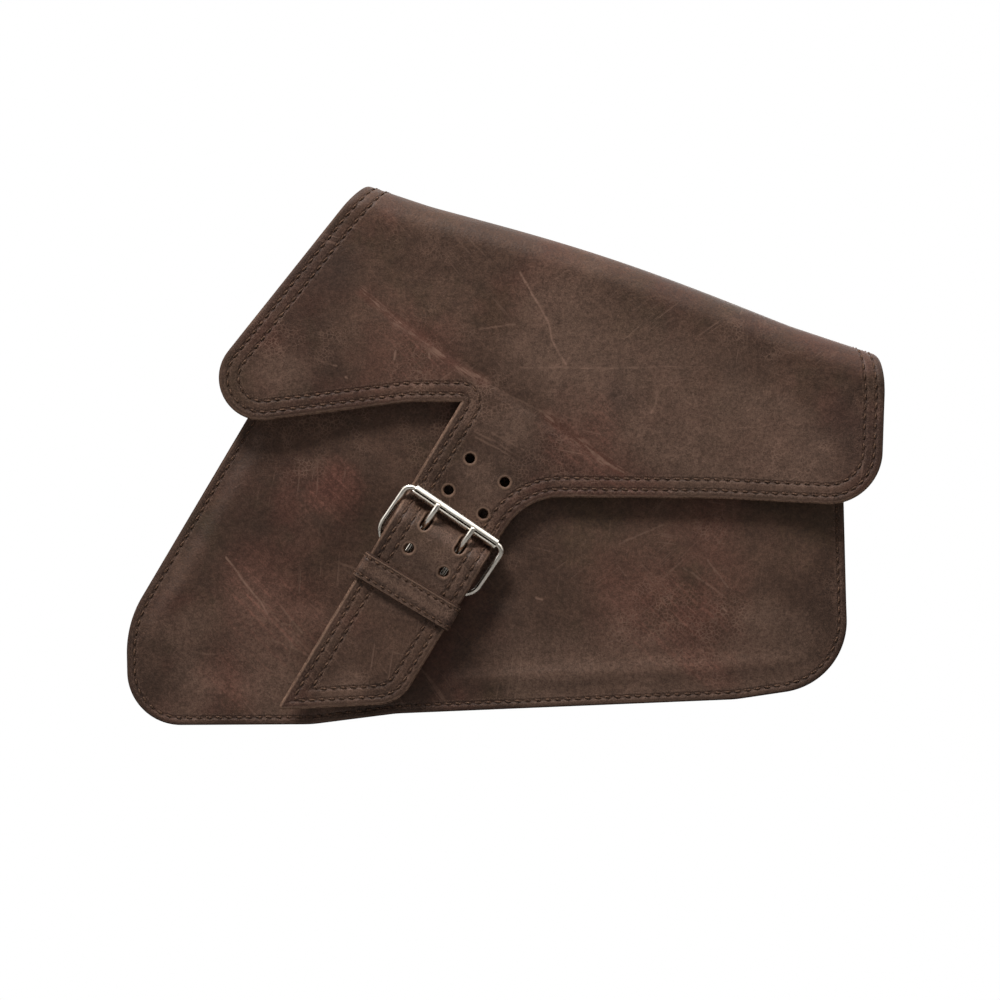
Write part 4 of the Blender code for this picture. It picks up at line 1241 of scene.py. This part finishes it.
def buckle(node, body, seat, lift, half, length, rise, heel, wire):
    """Wire frame that rises from its heel bar to its far bar."""
    corners = [(-half, 0.0, heel), (half, 0.0, heel), (half, -length, 4.0), (-half, -length, 4.0)]
    outline = Outline(corners, 0.7).ring(0.0)
    path = seat.at(outline[:, 1], outline[:, 0], lift - rise * outline[:, 1] / length)
    third = len(path) // 3
    square = np.cross(path[third] - path[0], path[2 * third] - path[0])
    tube(node, body, path, wire, square, True, 24)


def prong(node, body, seat, lift, middle, knots, radius):
    """A tongue looped round the heel bar, with its shaft over the far bar and a rounded tip."""
    loop = knots[-1][1]
    turn = np.linspace(math.pi * 1.5, 0.0, 30)
    shaft = np.linspace(-0.8, knots[0][0] + radius, 46)
    cap = knots[0][0] + radius - radius * np.sin(np.linspace(0.1, QUARTER, 7))
    a = np.concatenate((loop * np.sin(turn), shaft, cap))
    w = np.concatenate((loop * np.cos(turn), curve(knots, shaft), curve(knots, cap)))
    thick = np.full(len(a), radius)
    thick[:len(turn)] *= 0.96
    thick[-len(cap):] = radius * np.cos(np.linspace(0.1, QUARTER - 0.06, len(cap)))
    tube(node, body, seat.at(a, middle, lift + w), thick, seat.across, False, 18)


def front_buckle():
    buckle("buckle_frame", "buckle", BUCKLE, HEEL_LIFT, 29.0, 31.0, 5.2, 9.0, 1.5)
    profile = [(1.9, -24.6), (2.4, -24.9), (2.85, -24.75), (3.0, -24.3), (3.0, 24.3), (2.85, 24.75),
               (2.4, 24.9), (1.9, 24.6), (1.9, -24.6)]
    turned("buckle_roller", "roller", profile, BUCKLE.at(-31.0, 0.0, HEEL_LIFT + 5.2), BUCKLE.across, 96,
           (0.26, 1.05, 0.56, 2.6))
    for side, word in ((-1, "left"), (1, "right")):
        prong("buckle_prong_" + word, "prong_" + word, BUCKLE, HEEL_LIFT, side * PRONG_SPACING,
              PRONG_RISE, 1.5)
    chape("buckle_chape", "flap", BUCKLE, HEEL_LIFT, 1.5, 20.0, (-PRONG_SPACING, PRONG_SPACING), 3.2)
    keeper("strap_keeper", "keeper", STRAP, KEEPER_AT, KEEPER_HALF, 26.9, 1.2,
           lambda t: HEEL_LIFT + curve(STRAP_RISE, t - HEEL_AT) + FLAP / 2.0 + 1.2)
    spot = STRAP.at(SNAP_AT, 0.0, 0.0)
    stud = [(0.05, -0.2), (6.6, -0.2), (7.0, 0.6), (7.0, 1.2), (6.6, 1.5), (2.4, 1.6), (1.9, 3.0),
            (2.2, 4.1), (1.6, 4.55), (0.05, 4.6)]
    turned("snap_stud", "bag", stud, spot, STRAP.out)
    top = FLAP_LIFT - FLAP / 2.0 - 0.4
    ring = [(4.0, 3.4), (4.6, 3.2), (6.6, 3.2), (7.0, 3.6), (7.0, top), (4.0, top), (4.0, 3.4)]
    turned("snap_socket", "flap", ring, spot, STRAP.out)


def mount_strap(side, word):
    """A strap on the back, with its rivet, chape, buckle, prong and keeper."""
    seat = Seat((side * MOUNT_X, MOUNT_HEEL_Z), 0.0, BACK_Y, 1.0)
    start, tip, half = MOUNT_RISE[0][0], MOUNT_RISE[-1][0], MOUNT_HALF
    outline = Outline([(start, -half, 4.0), (tip - half, -half, 6.0), (tip, -half * 0.2, 2.0),
                       (tip, half * 0.2, 2.0), (tip - half, half, 6.0), (start, half, 4.0)])
    holes = [Slot((-14.5, 0.0), 1.9, 3.6), Slot((RIVET_AT, 0.0), 2.0)]
    holes += [Slot((a, 0.0), 1.7) for a in (-44.0, -29.0, 30.0, 45.0)]
    sheet = Sheet(outline, lambda a, b: seat.at(a, b, MOUNT_LIFT + curve(MOUNT_RISE, a)), MOUNT_STRAP,
                  (3.0,), holes, cell=2.2, flip=-1.0)
    sheet.cut("mount_strap_" + word, "bag", CUT_LEATHER)
    stitches("mount_strap_%s_stitches" % word, "bag", sheet, [outline.ring(3.0)], pitch=4.0)
    head = MOUNT_LIFT + MOUNT_RISE[0][1] + MOUNT_STRAP / 2.0 + 0.3
    rivet = [(0.05, -2.7), (1.8, -2.7), (1.8, head), (4.9, head), (5.0, head + 0.4), (4.5, head + 1.0),
             (3.4, head + 1.5), (2.0, head + 1.8), (0.05, head + 1.9)]
    turned("mount_rivet_" + word, "bag", rivet, seat.at(RIVET_AT, 0.0, 0.0), seat.out)
    chape("mount_chape_" + word, "bag", seat, MOUNT_LIFT, 1.3, 10.0, (0.0,), 2.6)
    name = "mount_buckle_" + word
    buckle(name, name, seat, MOUNT_LIFT, 15.5, 22.0, 3.4, 4.0, 1.3)
    name = "mount_prong_" + word
    prong(name, name, seat, MOUNT_LIFT, 0.0, MOUNT_PRONG_RISE, 1.1)
    keeper("mount_keeper_" + word, "bag", seat, 17.0, 5.0, 13.9, 1.1,
           lambda t: MOUNT_LIFT + curve(MOUNT_RISE, t) + MOUNT_STRAP / 2.0 + 0.9, 1.4)


# ---------------------------------------------------------------- room, light and camera


SKY = (                          # axis, where the glow starts and is full, strength
    ("Z", 0.1, 0.8, 1.9),
    ("X", 0.4, 0.9, 0.8),
)
REFLECTED = 0.06
AMBIENT = 0.032
LAMPS = (                        # name, place, power in watts, width
    ("key", (-0.65, -1.1, 2.0), 53.0, 0.6),
    ("fill", (0.9, -2.4, 1.2), 0.8, 1.6),
    ("back", (1.0, 2.3, 0.6), 18.0, 1.2),
)
FLOOR = 9000.0                   # half width
FLOOR_Z = -420.0
CAMERA_BACK = 3.0                # metres from the flap


def light_the_sky(tree):
    """White to the camera, a glowing tent in reflections, and dim elsewhere."""
    sky = Nodes(tree)
    axes = sky.add("ShaderNodeSeparateXYZ")
    tree.links.new(sky.add("ShaderNodeTexCoord").outputs["Generated"], axes.inputs[0])
    glow = REFLECTED
    for axis, start, full, strength in SKY:
        reach = Value(sky, axes.outputs[axis])
        glow = (abs(reach) if axis == "X" else reach).ramp(start, full, 0.0, strength) + glow
    rays = sky.add("ShaderNodeLightPath").outputs
    glossy, seen = [Value(sky, rays[kind]) for kind in ("Is Glossy Ray", "Is Camera Ray")]
    background = tree.nodes["Background"].inputs
    sky.feed(background["Strength"], (glow * glossy).most(AMBIENT).most(seen))
    sky.feed(background["Color"], (1.0, 1.0, 1.0, 1.0))


def placed(name, data, place, turn):
    made = bpy.data.objects.new(name, data)
    made.location = place
    made.rotation_euler = turn
    bpy.context.scene.collection.objects.link(made)
    return made


def studio():
    corners = [(x, y, FLOOR_Z) for x, y, _ in rectangle((-FLOOR, -FLOOR), (FLOOR, FLOOR), 0.0)]
    make("floor", corners, [(0, 1, 2, 3)], [floor_finish("floor_white")])
    world = bpy.data.worlds.new("studio")
    bpy.context.scene.world = world
    world.use_nodes = True
    light_the_sky(world.node_tree)
    for name, place, power, size in LAMPS:
        data = bpy.data.lights.new(name, "AREA")
        data.energy = power
        data.size = size
        placed(name, data, place, (-Vector(place)).to_track_quat("-Z", "Y").to_euler())
    data = bpy.data.cameras.new("camera")
    data.sensor_width = 36.0
    data.lens = 216.0
    data.clip_end = 100.0
    spot = (0.0, (FRONT_Y - FLAP_LIFT) * MM - CAMERA_BACK, 0.0)
    bpy.context.scene.camera = placed("camera", data, spot, (QUARTER, 0.0, 0.0))
    bpy.context.scene.view_settings.view_transform = "Standard"


panel("front", body_corners(BODY_TOP), FRONT_Y + PANEL / 2.0, BODY_TOP - 6.0,
      [GRAIN_BODY, EDGE_DARK, FLESH], sag=front_sag)
panel("back", body_corners(BACK_TOP, BACK_DROP), BACK_Y - PANEL / 2.0, BACK_TOP - 24.0,
      [GRAIN, EDGE_PALE, FLESH], cell=8.0, flip=-1.0)
gusset()
mount_pad()
flap()
lining()
front_buckle()
mount_strap(-1, "left")
mount_strap(1, "right")
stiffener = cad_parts["back_stiffener"]
stiffener.data.materials.clear()
stiffener.data.materials.append(BOARD)
studio()
